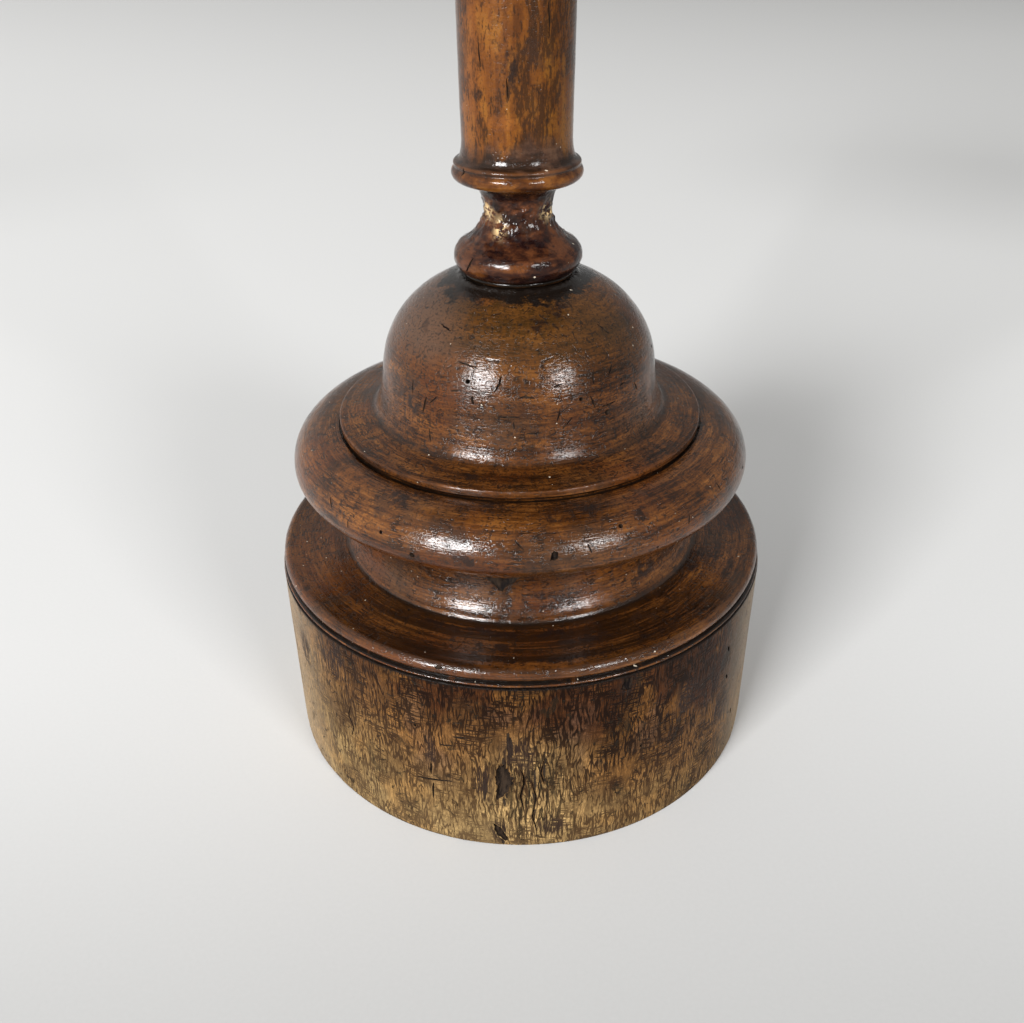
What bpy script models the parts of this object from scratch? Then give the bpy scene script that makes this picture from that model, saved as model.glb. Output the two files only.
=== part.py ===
"""Tilt-top pedestal table on a turned drum base.

A stack of turned pieces (drum, plinth moulding and dome) is threaded on the long tenon of a
turned column. The column's head is wedged into a tablet block. The round top hangs on two
battens (bearers) that turn on pins in the block's front end, and a sliding brass bolt under the
top enters a keeper let into the block's rear end.

Units are metres, +Z is up, and the origin is the centre of the drum's underside. The front of
the table, where the top's edge swings down, faces -Y.
"""

import math

import bmesh
import bpy
from mathutils import Matrix, Vector

MM = 0.001
GAP = 0.3 * MM  # left between pieces that touch

# Overall sizes
TABLE_HEIGHT = 720 * MM
TOP_RADIUS = 260 * MM
TOP_THICKNESS = 18 * MM
DRUM_RADIUS = 140 * MM
DRUM_HEIGHT = 112 * MM
MOULDING_HEIGHT = 82.4 * MM
DOME_HEIGHT = 80 * MM

# Heights that follow from them
TOP_UNDERSIDE = TABLE_HEIGHT - TOP_THICKNESS
MOULDING_BOTTOM = DRUM_HEIGHT + GAP
MOULDING_TOP = DRUM_HEIGHT + MOULDING_HEIGHT
DOME_BOTTOM = MOULDING_TOP + GAP
DOME_TOP = MOULDING_TOP + DOME_HEIGHT

# Tablet block on the column's head
BLOCK_HALF_WIDTH = 62 * MM
BLOCK_THICKNESS = 26 * MM
BLOCK_REAR = 85 * MM
BLOCK_TOP = TOP_UNDERSIDE - 0.5 * MM
BLOCK_BOTTOM = BLOCK_TOP - BLOCK_THICKNESS
BLOCK_CHAMFER = 2.5 * MM

# Tilting axis, which runs along X through the block's front end
AXIS_Y = -75 * MM
AXIS_Z = BLOCK_TOP - BLOCK_THICKNESS / 2
PIN_RADIUS = 7 * MM
PIN_DEPTH = 35 * MM
PIN_CLEARANCE = 0.4 * MM

# Column tenons
FOOT_TENON_RADIUS = 15 * MM
HEAD_TENON_RADIUS = 16 * MM
WEDGE_THICKNESS = 3.6 * MM
WEDGE_DEPTH = 18 * MM

# Bearers
BEARER_WIDTH = 24 * MM
BEARER_DEPTH = 28 * MM
BEARER_HALF_LENGTH = 205 * MM
BEARER_END_DEPTH = 13 * MM
BEARER_TAPER = 70 * MM
BEARER_INNER = BLOCK_HALF_WIDTH + 1.5 * MM
BEARER_MIDDLE = BEARER_INNER + BEARER_WIDTH / 2

# Boards of the top
SEAM_Y = 87 * MM

# Screws
BEARER_SCREW_Y = (-150 * MM, -30 * MM, 40 * MM, 150 * MM)
BEARER_SCREW = {"head": 4.5 * MM, "shank": 2.4 * MM, "length": 26 * MM}
COUNTERBORE_RADIUS = 5.2 * MM
COUNTERBORE_DEPTH = 12 * MM
SMALL_SCREW = {"head": 3.0 * MM, "shank": 1.3 * MM, "length": 11 * MM}

# Sliding catch
BOLT_HALF_WIDTH = 6 * MM
BOLT_THICKNESS = 5 * MM
BOLT_MIDDLE_Z = TOP_UNDERSIDE - 7 * MM
BOLT_NOSE_Y = 89.5 * MM
BOLT_LENGTH = 56 * MM
CATCH_PLATE_THICKNESS = 1.5 * MM
CATCH_PLATE_HALF_WIDTH = 19 * MM
CATCH_PLATE_Y = (91 * MM, 153 * MM)
CATCH_SCREW_X = 14 * MM
CATCH_SCREW_Y = (96 * MM, 148 * MM)
STAPLE_WIDTH = 5 * MM
STAPLE_WALL = 2.4 * MM
STAPLE_Y = (101 * MM, 138 * MM)
KNOB_Y = 127 * MM
KEEPER_HALF_WIDTH = 18 * MM
KEEPER_THICKNESS = 1.6 * MM
KEEPER_HEIGHT = 20 * MM
KEEPER_SCREW_X = 12.5 * MM
KEEPER_SCREW_Z = BLOCK_TOP - 12 * MM
MORTISE_HALF_WIDTH = 7 * MM
MORTISE_HEIGHT = 7 * MM
MORTISE_DEPTH = 14 * MM

# Facets round a full turn
SEGMENTS_LARGE = 60
SEGMENTS_MEDIUM = 40
SEGMENTS_COLUMN = 24
SEGMENTS_PIN = 18
SEGMENTS_SCREW = 12


# ---------------------------------------------------------------- materials

def material(name, colour, roughness, metallic=0.0):
    """A Principled material of one colour."""
    made = bpy.data.materials.new(name)
    made.use_nodes = True
    shader = made.node_tree.nodes["Principled BSDF"]
    shader.inputs["Base Color"].default_value = (*colour, 1.0)
    shader.inputs["Roughness"].default_value = roughness
    shader.inputs["Metallic"].default_value = metallic
    made.diffuse_color = (*colour, 1.0)
    return made


def make_materials():
    return {
        "waxed": material("waxed_walnut", (0.20, 0.085, 0.032), 0.28),
        "worn": material("worn_drum_wood", (0.27, 0.17, 0.075), 0.55),
        "plain": material("unpolished_wood", (0.24, 0.14, 0.07), 0.65),
        "brass": material("aged_brass", (0.52, 0.36, 0.14), 0.38, 1.0),
        "iron": material("iron_screw", (0.11, 0.10, 0.09), 0.5, 1.0),
    }


# ---------------------------------------------------------------- outlines, as lists of (x, z)

def arc(centre_x, centre_z, radius_x, radius_z, start, end, steps):
    """Points along an ellipse, from one angle to another in degrees, both ends included."""
    angles = [math.radians(start + (end - start) * i / steps) for i in range(steps + 1)]
    return [(centre_x + radius_x * math.cos(a), centre_z + radius_z * math.sin(a)) for a in angles]


def curve(start, first, second, end, steps):
    """Points along a cubic Bezier curve, without its start."""
    points = []
    for i in range(1, steps + 1):
        t = i / steps
        weights = ((1 - t) ** 3, 3 * (1 - t) ** 2 * t, 3 * (1 - t) * t * t, t ** 3)
        corners = (start, first, second, end)
        points.append(tuple(sum(w * c[k] for w, c in zip(weights, corners)) for k in (0, 1)))
    return points


def in_mm(points):
    """An outline given in millimetres, in metres."""
    return [(x * MM, z * MM) for x, z in points]


# ---------------------------------------------------------------- solids

def add_object(name, mesh, look=None, smooth=True):
    """A mesh as an object of the scene, with its faces pointing out."""
    shape = bmesh.new()
    shape.from_mesh(mesh)
    bmesh.ops.recalc_face_normals(shape, faces=shape.faces)
    shape.to_mesh(mesh)
    shape.free()
    if smooth:
        mesh.shade_smooth()
        mesh.set_sharp_from_angle(angle=math.radians(35))
    if look:
        mesh.materials.append(look)
    made = bpy.data.objects.new(name, mesh)
    bpy.context.scene.collection.objects.link(made)
    return made


def turned(name, outline, segments, look=None):
    """A turned solid about Z. The outline starts and ends on the axis, or closes round a bore."""
    shape = bmesh.new()
    rings = []
    for radius, height in outline:
        if radius < 1e-7:
            rings.append([shape.verts.new((0, 0, height))])
            continue
        angles = [2 * math.pi * i / segments for i in range(segments)]
        rings.append([shape.verts.new((radius * math.cos(a), radius * math.sin(a), height))
                      for a in angles])
    pairs = list(zip(rings[:-1], rings[1:]))
    if len(rings[0]) > 1:
        pairs.append((rings[-1], rings[0]))
    for low, high in pairs:
        for i in range(segments):
            j = (i + 1) % segments
            corners = [low[i % len(low)], low[j % len(low)], high[j % len(high)], high[i % len(high)]]
            shape.faces.new(dict.fromkeys(corners))
    mesh = bpy.data.meshes.new(name)
    shape.to_mesh(mesh)
    shape.free()
    return add_object(name, mesh, look)


def box(name, low, high, look=None, chamfer=0.0):
    """A box between two corners, with its edges chamfered where a width is given."""
    shape = bmesh.new()
    bmesh.ops.create_cube(shape, size=1.0)
    size = Vector(high) - Vector(low)
    middle = (Vector(high) + Vector(low)) / 2
    bmesh.ops.transform(shape, matrix=Matrix.Diagonal((*size, 1.0)), verts=shape.verts)
    if chamfer:
        bmesh.ops.bevel(shape, geom=shape.edges, offset=chamfer, segments=1, affect="EDGES")
    bmesh.ops.translate(shape, vec=middle, verts=shape.verts)
    mesh = bpy.data.meshes.new(name)
    shape.to_mesh(mesh)
    shape.free()
    return add_object(name, mesh, look, smooth=False)


def prism(name, outline, low_x, high_x, look=None, chamfer=0.0):
    """A side outline of (y, z) points, extruded along X."""
    shape = bmesh.new()
    corners = [shape.verts.new((low_x, y, z)) for y, z in outline]
    face = shape.faces.new(corners)
    pushed = bmesh.ops.extrude_face_region(shape, geom=[face])
    moved = [v for v in pushed["geom"] if isinstance(v, bmesh.types.BMVert)]
    bmesh.ops.translate(shape, vec=(high_x - low_x, 0, 0), verts=moved)
    if chamfer:
        ends = [e for e in shape.edges if abs(e.verts[0].co.x - e.verts[1].co.x) < 1e-7]
        bmesh.ops.bevel(shape, geom=ends, offset=chamfer, segments=1, affect="EDGES")
    mesh = bpy.data.meshes.new(name)
    shape.to_mesh(mesh)
    shape.free()
    return add_object(name, mesh, look)


def place(made, location, rotation=(0, 0, 0)):
    made.location = location
    made.rotation_euler = rotation
    return made


def boolean(target, other, operation="DIFFERENCE"):
    """Cuts a helper from a piece, or keeps only what lies inside it, and hides the helper."""
    other.hide_render = True
    other.display_type = "WIRE"
    modifier = target.modifiers.new(other.name, "BOOLEAN")
    modifier.operation = operation
    modifier.object = other
    return target


# ---------------------------------------------------------------- screws

def screw_outline(size, clearance=0.0):
    """A countersunk wood screw, head up at height 0, from its tip to its head."""
    head, shank, length = (size["head"], size["shank"], size["length"])
    head, shank = (head + clearance, shank + clearance)
    cone = head - shank
    return [
        (0, -length - 1.5 * clearance),
        (shank, -length + 2.5 * shank),
        (shank, -cone),
        (head, -0.4 * MM),
        (head, clearance),
        (0, clearance),
    ]


def slotted_screw_mesh(name, size):
    """The mesh that all screws of one size share, with its driving slot cut."""
    blank = turned(name + "_blank", screw_outline(size), SEGMENTS_SCREW)
    slot = box(name + "_slot", (-0.4 * MM, -6 * MM, -0.9 * MM), (0.4 * MM, 6 * MM, 1 * MM))
    boolean(blank, slot)
    graph = bpy.context.evaluated_depsgraph_get()
    mesh = bpy.data.meshes.new_from_object(blank.evaluated_get(graph))
    mesh.name = name
    for helper in (blank, slot):
        bpy.data.objects.remove(helper)
    return mesh


def screw_hole(name, size, location, rotation=(0, 0, 0)):
    """The pilot hole and countersink of a screw, as a cutter."""
    outline = screw_outline(size, GAP)
    mouth = outline[-2][0]
    outline[-2:] = [(mouth, 6 * MM), (0, 6 * MM)]
    return place(turned(name, outline, SEGMENTS_SCREW), location, rotation)


def add_screw(name, mesh, location, rotation, look):
    made = bpy.data.objects.new(name, mesh)
    bpy.context.scene.collection.objects.link(made)
    if not mesh.materials:
        mesh.materials.append(look)
    return place(made, location, rotation)


POINTING_UP = (math.pi, 0, 0)  # a screw driven upwards, its head below
POINTING_FORWARD = (-math.pi / 2, 0, 0)  # a screw driven towards -Y, its head at the rear


# ---------------------------------------------------------------- turned base and column

def make_drum(looks):
    bore = FOOT_TENON_RADIUS + GAP
    edge = 1.5 * MM
    outline = [
        (bore, 0),
        (DRUM_RADIUS - edge, 0),
        (DRUM_RADIUS, edge),
        (DRUM_RADIUS, DRUM_HEIGHT - 1 * MM),
        (DRUM_RADIUS - 1 * MM, DRUM_HEIGHT),
        (bore, DRUM_HEIGHT),
    ]
    return turned("drum", outline, SEGMENTS_LARGE, looks["worn"])


def make_plinth_moulding(looks):
    """A quirked bead and rounded ledge, a cavetto, and a large torus."""
    bore = (FOOT_TENON_RADIUS + GAP) / MM
    bottom = MOULDING_BOTTOM / MM
    top = MOULDING_TOP / MM
    outline = [(bore, bottom), (138.4, bottom), (139.2, 113.3), (138.0, 114.6)]
    outline += arc(134.9, 118.3, 3.8, 3.8, -50, 90, 4)
    outline += curve(outline[-1], (124, 121.2), (112, 121.4), (101.6, 122.4), 2)
    outline += [(100.8, 124.2)]
    outline += curve(outline[-1], (93.5, 128), (91.5, 148), (98.5, 156.5), 4)
    outline += [(107.9, 161.1)]
    outline += arc(104, 175.25, 22.4, 14.4, -60, 0, 3)
    outline += arc(104, 175.25, 22.4, 19.1, 20, 105, 4)
    outline += [(96.5, top), (bore, top)]
    return turned("plinth_moulding", in_mm(outline), SEGMENTS_MEDIUM, looks["waxed"])


def make_dome(looks):
    """A flat flange with a square step, sweeping up into a bell-shaped dome."""
    bore = (FOOT_TENON_RADIUS + GAP) / MM
    bottom = DOME_BOTTOM / MM
    top = DOME_TOP / MM
    outline = [(bore, bottom), (97.6, bottom), (99.3, 195.9), (99.3, 198.9), (98.4, 199.7)]
    outline += [(79.5, 201.2)]
    outline += curve(outline[-1], (76.5, 202.5), (74.8, 212), (73.6, 224), 3)
    outline += curve(outline[-1], (72.6, 249.8), (53, 270.4), (27, top), 7)
    outline += [(bore, top)]
    return turned("dome", in_mm(outline), SEGMENTS_MEDIUM, looks["waxed"])


def column_outline():
    """Foot tenon, squat knob, waisted neck, collar, swelling shaft, and the head that repeats them."""
    tenon = FOOT_TENON_RADIUS / MM
    shoulder = DOME_TOP / MM + 0.5
    outline = [(0, 2), (tenon - 1.5, 2), (tenon, 3.5), (tenon, shoulder), (26, shoulder)]
    outline += arc(24.2, 282.6, 8.8, 10.2, -45, 50, 5)
    outline += curve(outline[-1], (22.2, 294.2), (17.1, 301.6), (17.1, 306.6), 3)
    outline += curve(outline[-1], (17.1, 312), (18.6, 319.6), (27.5, 322.6), 3)
    outline += arc(27.9, 326.9, 4.9, 4.3, -60, 65, 4)
    outline += [(29.0, 332.2), (27.6, 336), (27.2, 341)]
    outline += curve(outline[-1], (27.6, 385), (28.6, 450), (27.2, 500), 3)
    outline += curve(outline[-1], (26.2, 545), (24.4, 575), (24.2, 600), 2)
    outline += arc(25.6, 607, 4.6, 4.2, -60, 70, 3)
    outline += curve(outline[-1], (19, 613), (17.4, 619), (17.4, 625), 3)
    outline += curve(outline[-1], (17.4, 631), (20, 636), (27, 639), 3)
    outline += arc(25.5, 647.5, 9, 8.8, -55, 60, 4)
    shoulder = (BLOCK_BOTTOM - GAP) / MM
    outline += [(29, 657), (30, 659), (37, 661), (38.5, 663.5), (38.5, 671)]
    outline += [(36.5, shoulder), (HEAD_TENON_RADIUS / MM, shoulder)]
    end = BLOCK_TOP / MM - 0.3
    outline += [(HEAD_TENON_RADIUS / MM, end - 0.8), (HEAD_TENON_RADIUS / MM - 0.8, end), (0, end)]
    return in_mm(outline)


def wedge_outline(depth, clearance=0.0):
    """The tapered side of a tenon wedge, point down, with its head at height 0."""
    half = WEDGE_THICKNESS / 2 + clearance
    point = half * 0.55
    return [(-half, 0), (-point, -depth - clearance), (point, -depth - clearance), (half, 0)]


def make_column(looks):
    column = turned("column", column_outline(), SEGMENTS_COLUMN, looks["waxed"])
    head_top = BLOCK_TOP - 0.3 * MM
    foot_end = 2 * MM
    slots = (
        ("head", HEAD_TENON_RADIUS, head_top, 1),
        ("foot", FOOT_TENON_RADIUS, foot_end, -1),
    )
    for name, radius, end, up in slots:
        reach = radius * 0.84
        outline = [(y, end + up * z) for y, z in wedge_outline(WEDGE_DEPTH)]
        prism(f"column_{name}_wedge", outline, -reach, reach, looks["plain"])
        slot = [(y, z) for y, z in wedge_outline(WEDGE_DEPTH, GAP)]
        half = slot[-1][0]
        slot = [(-half, 4 * MM), *slot, (half, 4 * MM)]
        cutter = prism(
            f"cut_{name}_slot",
            [(y, end + up * z) for y, z in slot],
            -radius - 3 * MM,
            radius + 3 * MM,
        )
        boolean(column, cutter)
    return column


# ---------------------------------------------------------------- tablet block

def make_pivot_block(looks):
    """The tablet: rounded above the tilting axis at its front end, so that the top clears it."""
    nose = BLOCK_THICKNESS / 2
    outline = [(BLOCK_REAR, BLOCK_BOTTOM), (BLOCK_REAR, BLOCK_TOP)]
    outline += arc(AXIS_Y, AXIS_Z, nose, nose, 90, 180, 8)
    outline += [(AXIS_Y - nose, BLOCK_BOTTOM)]
    block = prism("pivot_block", outline, -BLOCK_HALF_WIDTH, BLOCK_HALF_WIDTH, looks["waxed"],
                  BLOCK_CHAMFER)
    bore = HEAD_TENON_RADIUS + GAP
    low, high = (BLOCK_BOTTOM - 5 * MM, BLOCK_TOP + 5 * MM)
    boolean(block, turned("cut_head_bore", [(0, low), (bore, low), (bore, high), (0, high)],
                          SEGMENTS_COLUMN))
    for side, sign in (("left", -1), ("right", 1)):
        depth = PIN_DEPTH + GAP
        pin_hole(block, f"cut_block_pin_{side}", PIN_RADIUS + GAP,
                 sign * (BLOCK_HALF_WIDTH - depth), sign * (BLOCK_HALF_WIDTH + 5 * MM))
    recess_low = (-KEEPER_HALF_WIDTH - GAP, BLOCK_REAR - KEEPER_THICKNESS - GAP,
                  BLOCK_TOP - KEEPER_HEIGHT - GAP)
    recess_high = (KEEPER_HALF_WIDTH + GAP, BLOCK_REAR + 5 * MM, BLOCK_TOP + 5 * MM)
    boolean(block, box("cut_keeper_recess", recess_low, recess_high))
    boolean(block, mortise_cutter("cut_bolt_mortise", MORTISE_HALF_WIDTH, MORTISE_HEIGHT))
    for name, x in (("left", -KEEPER_SCREW_X), ("right", KEEPER_SCREW_X)):
        hole = screw_hole(f"cut_block_screw_{name}", SMALL_SCREW, (x, BLOCK_REAR, KEEPER_SCREW_Z),
                          POINTING_FORWARD)
        boolean(block, hole)
    return block


def pin_hole(target, name, radius, start_x, end_x):
    """A round hole along X on the tilting axis."""
    low, high = sorted((start_x, end_x))
    cutter = turned(name, [(0, low), (radius, low), (radius, high), (0, high)],
                    SEGMENTS_PIN)
    boolean(target, place(cutter, (0, AXIS_Y, AXIS_Z), (0, math.pi / 2, 0)))


def mortise_cutter(name, half_width, height):
    return box(
        name,
        (-half_width, BLOCK_REAR - KEEPER_THICKNESS - MORTISE_DEPTH, BOLT_MIDDLE_Z - height / 2),
        (half_width, BLOCK_REAR + 5 * MM, BOLT_MIDDLE_Z + height / 2),
    )


def make_pivot_pins(looks):
    """Turned hardwood pins, driven into the block's sides and turning in the bearers."""
    inner = BLOCK_HALF_WIDTH - PIN_DEPTH
    outer = BEARER_INNER + BEARER_WIDTH - 0.5 * MM
    edge = 1 * MM
    outline = [
        (0, inner),
        (PIN_RADIUS - edge, inner),
        (PIN_RADIUS, inner + edge),
        (PIN_RADIUS, outer - edge),
        (PIN_RADIUS - edge, outer),
        (0, outer),
    ]
    for side, turn in (("left", -math.pi / 2), ("right", math.pi / 2)):
        pin = turned(f"pivot_pin_{side}", outline, SEGMENTS_PIN, looks["plain"])
        place(pin, (0, AXIS_Y, AXIS_Z), (0, turn, 0))


# ---------------------------------------------------------------- bearers and top

def make_bearer(side, sign, looks):
    """A batten under the top, tapered underneath towards its ends."""
    top = TOP_UNDERSIDE - GAP
    bottom = TOP_UNDERSIDE - BEARER_DEPTH
    end_bottom = TOP_UNDERSIDE - BEARER_END_DEPTH
    inner_y = BEARER_HALF_LENGTH - BEARER_TAPER
    outline = [
        (-BEARER_HALF_LENGTH, top),
        (-BEARER_HALF_LENGTH, end_bottom),
        (-inner_y, bottom),
        (inner_y, bottom),
        (BEARER_HALF_LENGTH, end_bottom),
        (BEARER_HALF_LENGTH, top),
    ]
    low, high = sorted((sign * BEARER_INNER, sign * (BEARER_INNER + BEARER_WIDTH)))
    bearer = prism(f"bearer_{side}", outline, low, high, looks["waxed"], 1.5 * MM)
    pin_hole(bearer, f"cut_bearer_pin_{side}", PIN_RADIUS + PIN_CLEARANCE, low - 5 * MM, high + 5 * MM)
    for number, y in enumerate(BEARER_SCREW_Y, 1):
        head_z = bearer_screw_head(y)
        well = turned(
            f"cut_bearer_well_{side}_{number}",
            [(0, -40 * MM), (COUNTERBORE_RADIUS, -40 * MM), (COUNTERBORE_RADIUS, 0), (0, 0)],
            SEGMENTS_SCREW,
        )
        boolean(bearer, place(well, (sign * BEARER_MIDDLE, y, head_z + GAP)))
        boolean(bearer, screw_hole(f"cut_bearer_screw_{side}_{number}", BEARER_SCREW,
                                   (sign * BEARER_MIDDLE, y, head_z), POINTING_UP))
    return bearer


def bearer_screw_head(y):
    """Height of a bearer screw's head: the same distance below the top, at the well's floor."""
    taper_start = BEARER_HALF_LENGTH - BEARER_TAPER
    beyond = max(0.0, abs(y) - taper_start) / BEARER_TAPER
    depth = BEARER_DEPTH - beyond * (BEARER_DEPTH - BEARER_END_DEPTH)
    return TOP_UNDERSIDE - max(depth - COUNTERBORE_DEPTH, 12 * MM)


def top_outline():
    """The round top's section: a thumb moulding on the upper edge and a chamfer beneath."""
    radius, thick = (TOP_RADIUS / MM, TOP_THICKNESS / MM)
    under = TOP_UNDERSIDE / MM
    outline = [(0, under), (radius - 16, under), (radius - 2.5, under + 5.5)]
    outline += arc(radius - 6, under + 9.5, 6, 4.5, -40, 90, 4)
    outline += [(radius - 9, under + 14.6), (radius - 9, under + thick - 0.6)]
    outline += [(radius - 9.8, under + thick), (0, under + thick)]
    return in_mm(outline)


def make_top_boards(looks):
    """Three boards with their grain along X, cut from one turned disc."""
    outline = top_outline()
    reach = TOP_RADIUS + 10 * MM
    strips = (
        ("front", -reach, -SEAM_Y - GAP / 2),
        ("middle", -SEAM_Y + GAP / 2, SEAM_Y - GAP / 2),
        ("rear", SEAM_Y + GAP / 2, reach),
    )
    for name, low_y, high_y in strips:
        board = turned(f"top_board_{name}", outline, SEGMENTS_LARGE, looks["waxed"])
        strip = box(f"cut_strip_{name}", (-reach, low_y, TOP_UNDERSIDE - 10 * MM),
                    (reach, high_y, TABLE_HEIGHT + 10 * MM))
        boolean(board, strip, "INTERSECT")
        for side, sign in (("left", -1), ("right", 1)):
            for number, y in enumerate(BEARER_SCREW_Y, 1):
                if low_y < y < high_y:
                    place_z = bearer_screw_head(y)
                    hole = screw_hole(f"cut_top_screw_{side}_{number}", BEARER_SCREW,
                                      (sign * BEARER_MIDDLE, y, place_z), POINTING_UP)
                    boolean(board, hole)
        if name == "rear":
            for number, (x, y) in enumerate(catch_screw_places(), 1):
                hole = screw_hole(f"cut_top_catch_screw_{number}", SMALL_SCREW,
                                  (x, y, catch_plate_bottom()), POINTING_UP)
                boolean(board, hole)


def make_bearer_screws(looks):
    mesh = slotted_screw_mesh("bearer_screw_mesh", BEARER_SCREW)
    for side, sign in (("left", -1), ("right", 1)):
        for number, y in enumerate(BEARER_SCREW_Y, 1):
            add_screw(f"bearer_screw_{side}_{number}", mesh,
                      (sign * BEARER_MIDDLE, y, bearer_screw_head(y)), POINTING_UP, looks["iron"])


# ---------------------------------------------------------------- catch and keeper

def catch_plate_bottom():
    return TOP_UNDERSIDE - GAP - CATCH_PLATE_THICKNESS


def catch_screw_places():
    return [(x, y) for y in CATCH_SCREW_Y for x in (-CATCH_SCREW_X, CATCH_SCREW_X)]


def make_catch_plate(looks):
    low = (-CATCH_PLATE_HALF_WIDTH, CATCH_PLATE_Y[0], catch_plate_bottom())
    high = (CATCH_PLATE_HALF_WIDTH, CATCH_PLATE_Y[1], TOP_UNDERSIDE - GAP)
    plate = box("catch_plate", low, high, looks["brass"], 0.3 * MM)
    for number, (x, y) in enumerate(catch_screw_places(), 1):
        hole = screw_hole(f"cut_plate_screw_{number}", SMALL_SCREW, (x, y, catch_plate_bottom()),
                          POINTING_UP)
        boolean(plate, hole)
    return plate


def make_staple(name, start_y, looks):
    """A U-shaped guide that hangs from the plate and carries the bolt."""
    inner = BOLT_HALF_WIDTH + GAP
    outer = inner + STAPLE_WALL
    top = catch_plate_bottom() - GAP
    floor = BOLT_MIDDLE_Z - BOLT_THICKNESS / 2 - GAP
    staple = box(name, (-outer, start_y, floor - STAPLE_WALL), (outer, start_y + STAPLE_WIDTH, top),
                 looks["brass"])
    cutter = box(f"cut_{name}", (-inner, start_y - 5 * MM, floor),
                 (inner, start_y + STAPLE_WIDTH + 5 * MM, top + 5 * MM))
    return boolean(staple, cutter)


def make_bolt(looks):
    """The sliding bolt, its nose bevelled underneath, and the knob that draws it."""
    low = BOLT_MIDDLE_Z - BOLT_THICKNESS / 2
    high = BOLT_MIDDLE_Z + BOLT_THICKNESS / 2
    rear = BOLT_NOSE_Y + BOLT_LENGTH
    bevel = 2 * MM
    outline = [
        (BOLT_NOSE_Y, low + bevel),
        (BOLT_NOSE_Y + bevel, low),
        (rear, low),
        (rear, high),
        (BOLT_NOSE_Y, high),
    ]
    prism("catch_bolt", outline, -BOLT_HALF_WIDTH, BOLT_HALF_WIDTH, looks["brass"], 0.5 * MM)
    top = low / MM - 0.3
    profile = [(0, top - 14.5)]
    profile += arc(0, top - 9.5, 5.5, 5, -60, 55, 4)
    profile += [(2.2, top - 4.6), (2.2, top - 2), (3.6, top - 1.4), (3.6, top), (0, top)]
    knob = turned("catch_knob", in_mm(profile), SEGMENTS_PIN, looks["brass"])
    place(knob, (0, KNOB_Y, 0))


def make_keeper(looks):
    """A brass plate let into the block's rear end, with a slot for the bolt."""
    low = (-KEEPER_HALF_WIDTH, BLOCK_REAR - KEEPER_THICKNESS, BLOCK_TOP - KEEPER_HEIGHT)
    high = (KEEPER_HALF_WIDTH, BLOCK_REAR, BLOCK_TOP - 0.3 * MM)
    plate = box("keeper_plate", low, high, looks["brass"], 0.25 * MM)
    boolean(plate, mortise_cutter("cut_keeper_slot", MORTISE_HALF_WIDTH, MORTISE_HEIGHT))
    for name, x in (("left", -KEEPER_SCREW_X), ("right", KEEPER_SCREW_X)):
        hole = screw_hole(f"cut_keeper_screw_{name}", SMALL_SCREW, (x, BLOCK_REAR, KEEPER_SCREW_Z),
                          POINTING_FORWARD)
        boolean(plate, hole)
    return plate


def make_small_screws(looks):
    mesh = slotted_screw_mesh("small_screw_mesh", SMALL_SCREW)
    for number, (x, y) in enumerate(catch_screw_places(), 1):
        add_screw(f"catch_screw_{number}", mesh, (x, y, catch_plate_bottom()), POINTING_UP,
                  looks["brass"])
    for name, x in (("left", -KEEPER_SCREW_X), ("right", KEEPER_SCREW_X)):
        add_screw(f"keeper_screw_{name}", mesh, (x, BLOCK_REAR, KEEPER_SCREW_Z), POINTING_FORWARD,
                  looks["brass"])


def main():
    for old in list(bpy.data.objects):
        bpy.data.objects.remove(old)
    looks = make_materials()
    make_drum(looks)
    make_plinth_moulding(looks)
    make_dome(looks)
    make_column(looks)
    make_pivot_block(looks)
    make_pivot_pins(looks)
    for side, sign in (("left", -1), ("right", 1)):
        make_bearer(side, sign, looks)
    make_top_boards(looks)
    make_bearer_screws(looks)
    make_catch_plate(looks)
    for name, start_y in zip(("catch_staple_front", "catch_staple_rear"), STAPLE_Y):
        make_staple(name, start_y, looks)
    make_bolt(looks)
    make_keeper(looks)
    make_small_screws(looks)


main()
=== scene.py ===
import math

import bmesh
import bpy
import numpy as np
from mathutils import Matrix, Vector


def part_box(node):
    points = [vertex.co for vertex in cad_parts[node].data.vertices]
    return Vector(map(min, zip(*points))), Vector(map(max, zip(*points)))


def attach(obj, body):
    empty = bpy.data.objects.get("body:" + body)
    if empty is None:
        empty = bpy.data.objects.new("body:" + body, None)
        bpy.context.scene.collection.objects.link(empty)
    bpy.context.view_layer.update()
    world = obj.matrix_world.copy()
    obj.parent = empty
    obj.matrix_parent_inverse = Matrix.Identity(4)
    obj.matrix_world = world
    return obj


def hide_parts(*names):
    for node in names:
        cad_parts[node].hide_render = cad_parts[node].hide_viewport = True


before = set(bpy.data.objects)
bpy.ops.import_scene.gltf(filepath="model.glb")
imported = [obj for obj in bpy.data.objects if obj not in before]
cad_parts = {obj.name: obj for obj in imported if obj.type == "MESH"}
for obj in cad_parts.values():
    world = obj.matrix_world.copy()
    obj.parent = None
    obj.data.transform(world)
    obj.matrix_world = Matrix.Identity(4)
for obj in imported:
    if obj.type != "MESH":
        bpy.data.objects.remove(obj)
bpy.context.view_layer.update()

MM = 0.001
GAP = 0.3  # mm, between pieces that touch

# Camera and light
CAMERA_PLACE = (-4.84 * MM, -518.84 * MM, 447.36 * MM)
CAMERA_PITCH = math.radians(31.627)  # below the horizon
CAMERA_ROLL = math.radians(-0.743)
CAMERA_LENS = 36.035  # mm, on a 36 mm sensor
WINDOW_TARGET = Vector((0, -0.08, 0.16))
WINDOW_DISTANCE = 12.0
FLOOR_RADIUS = 9.0


# ---------------- outlines of (radius, height) in mm

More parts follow.
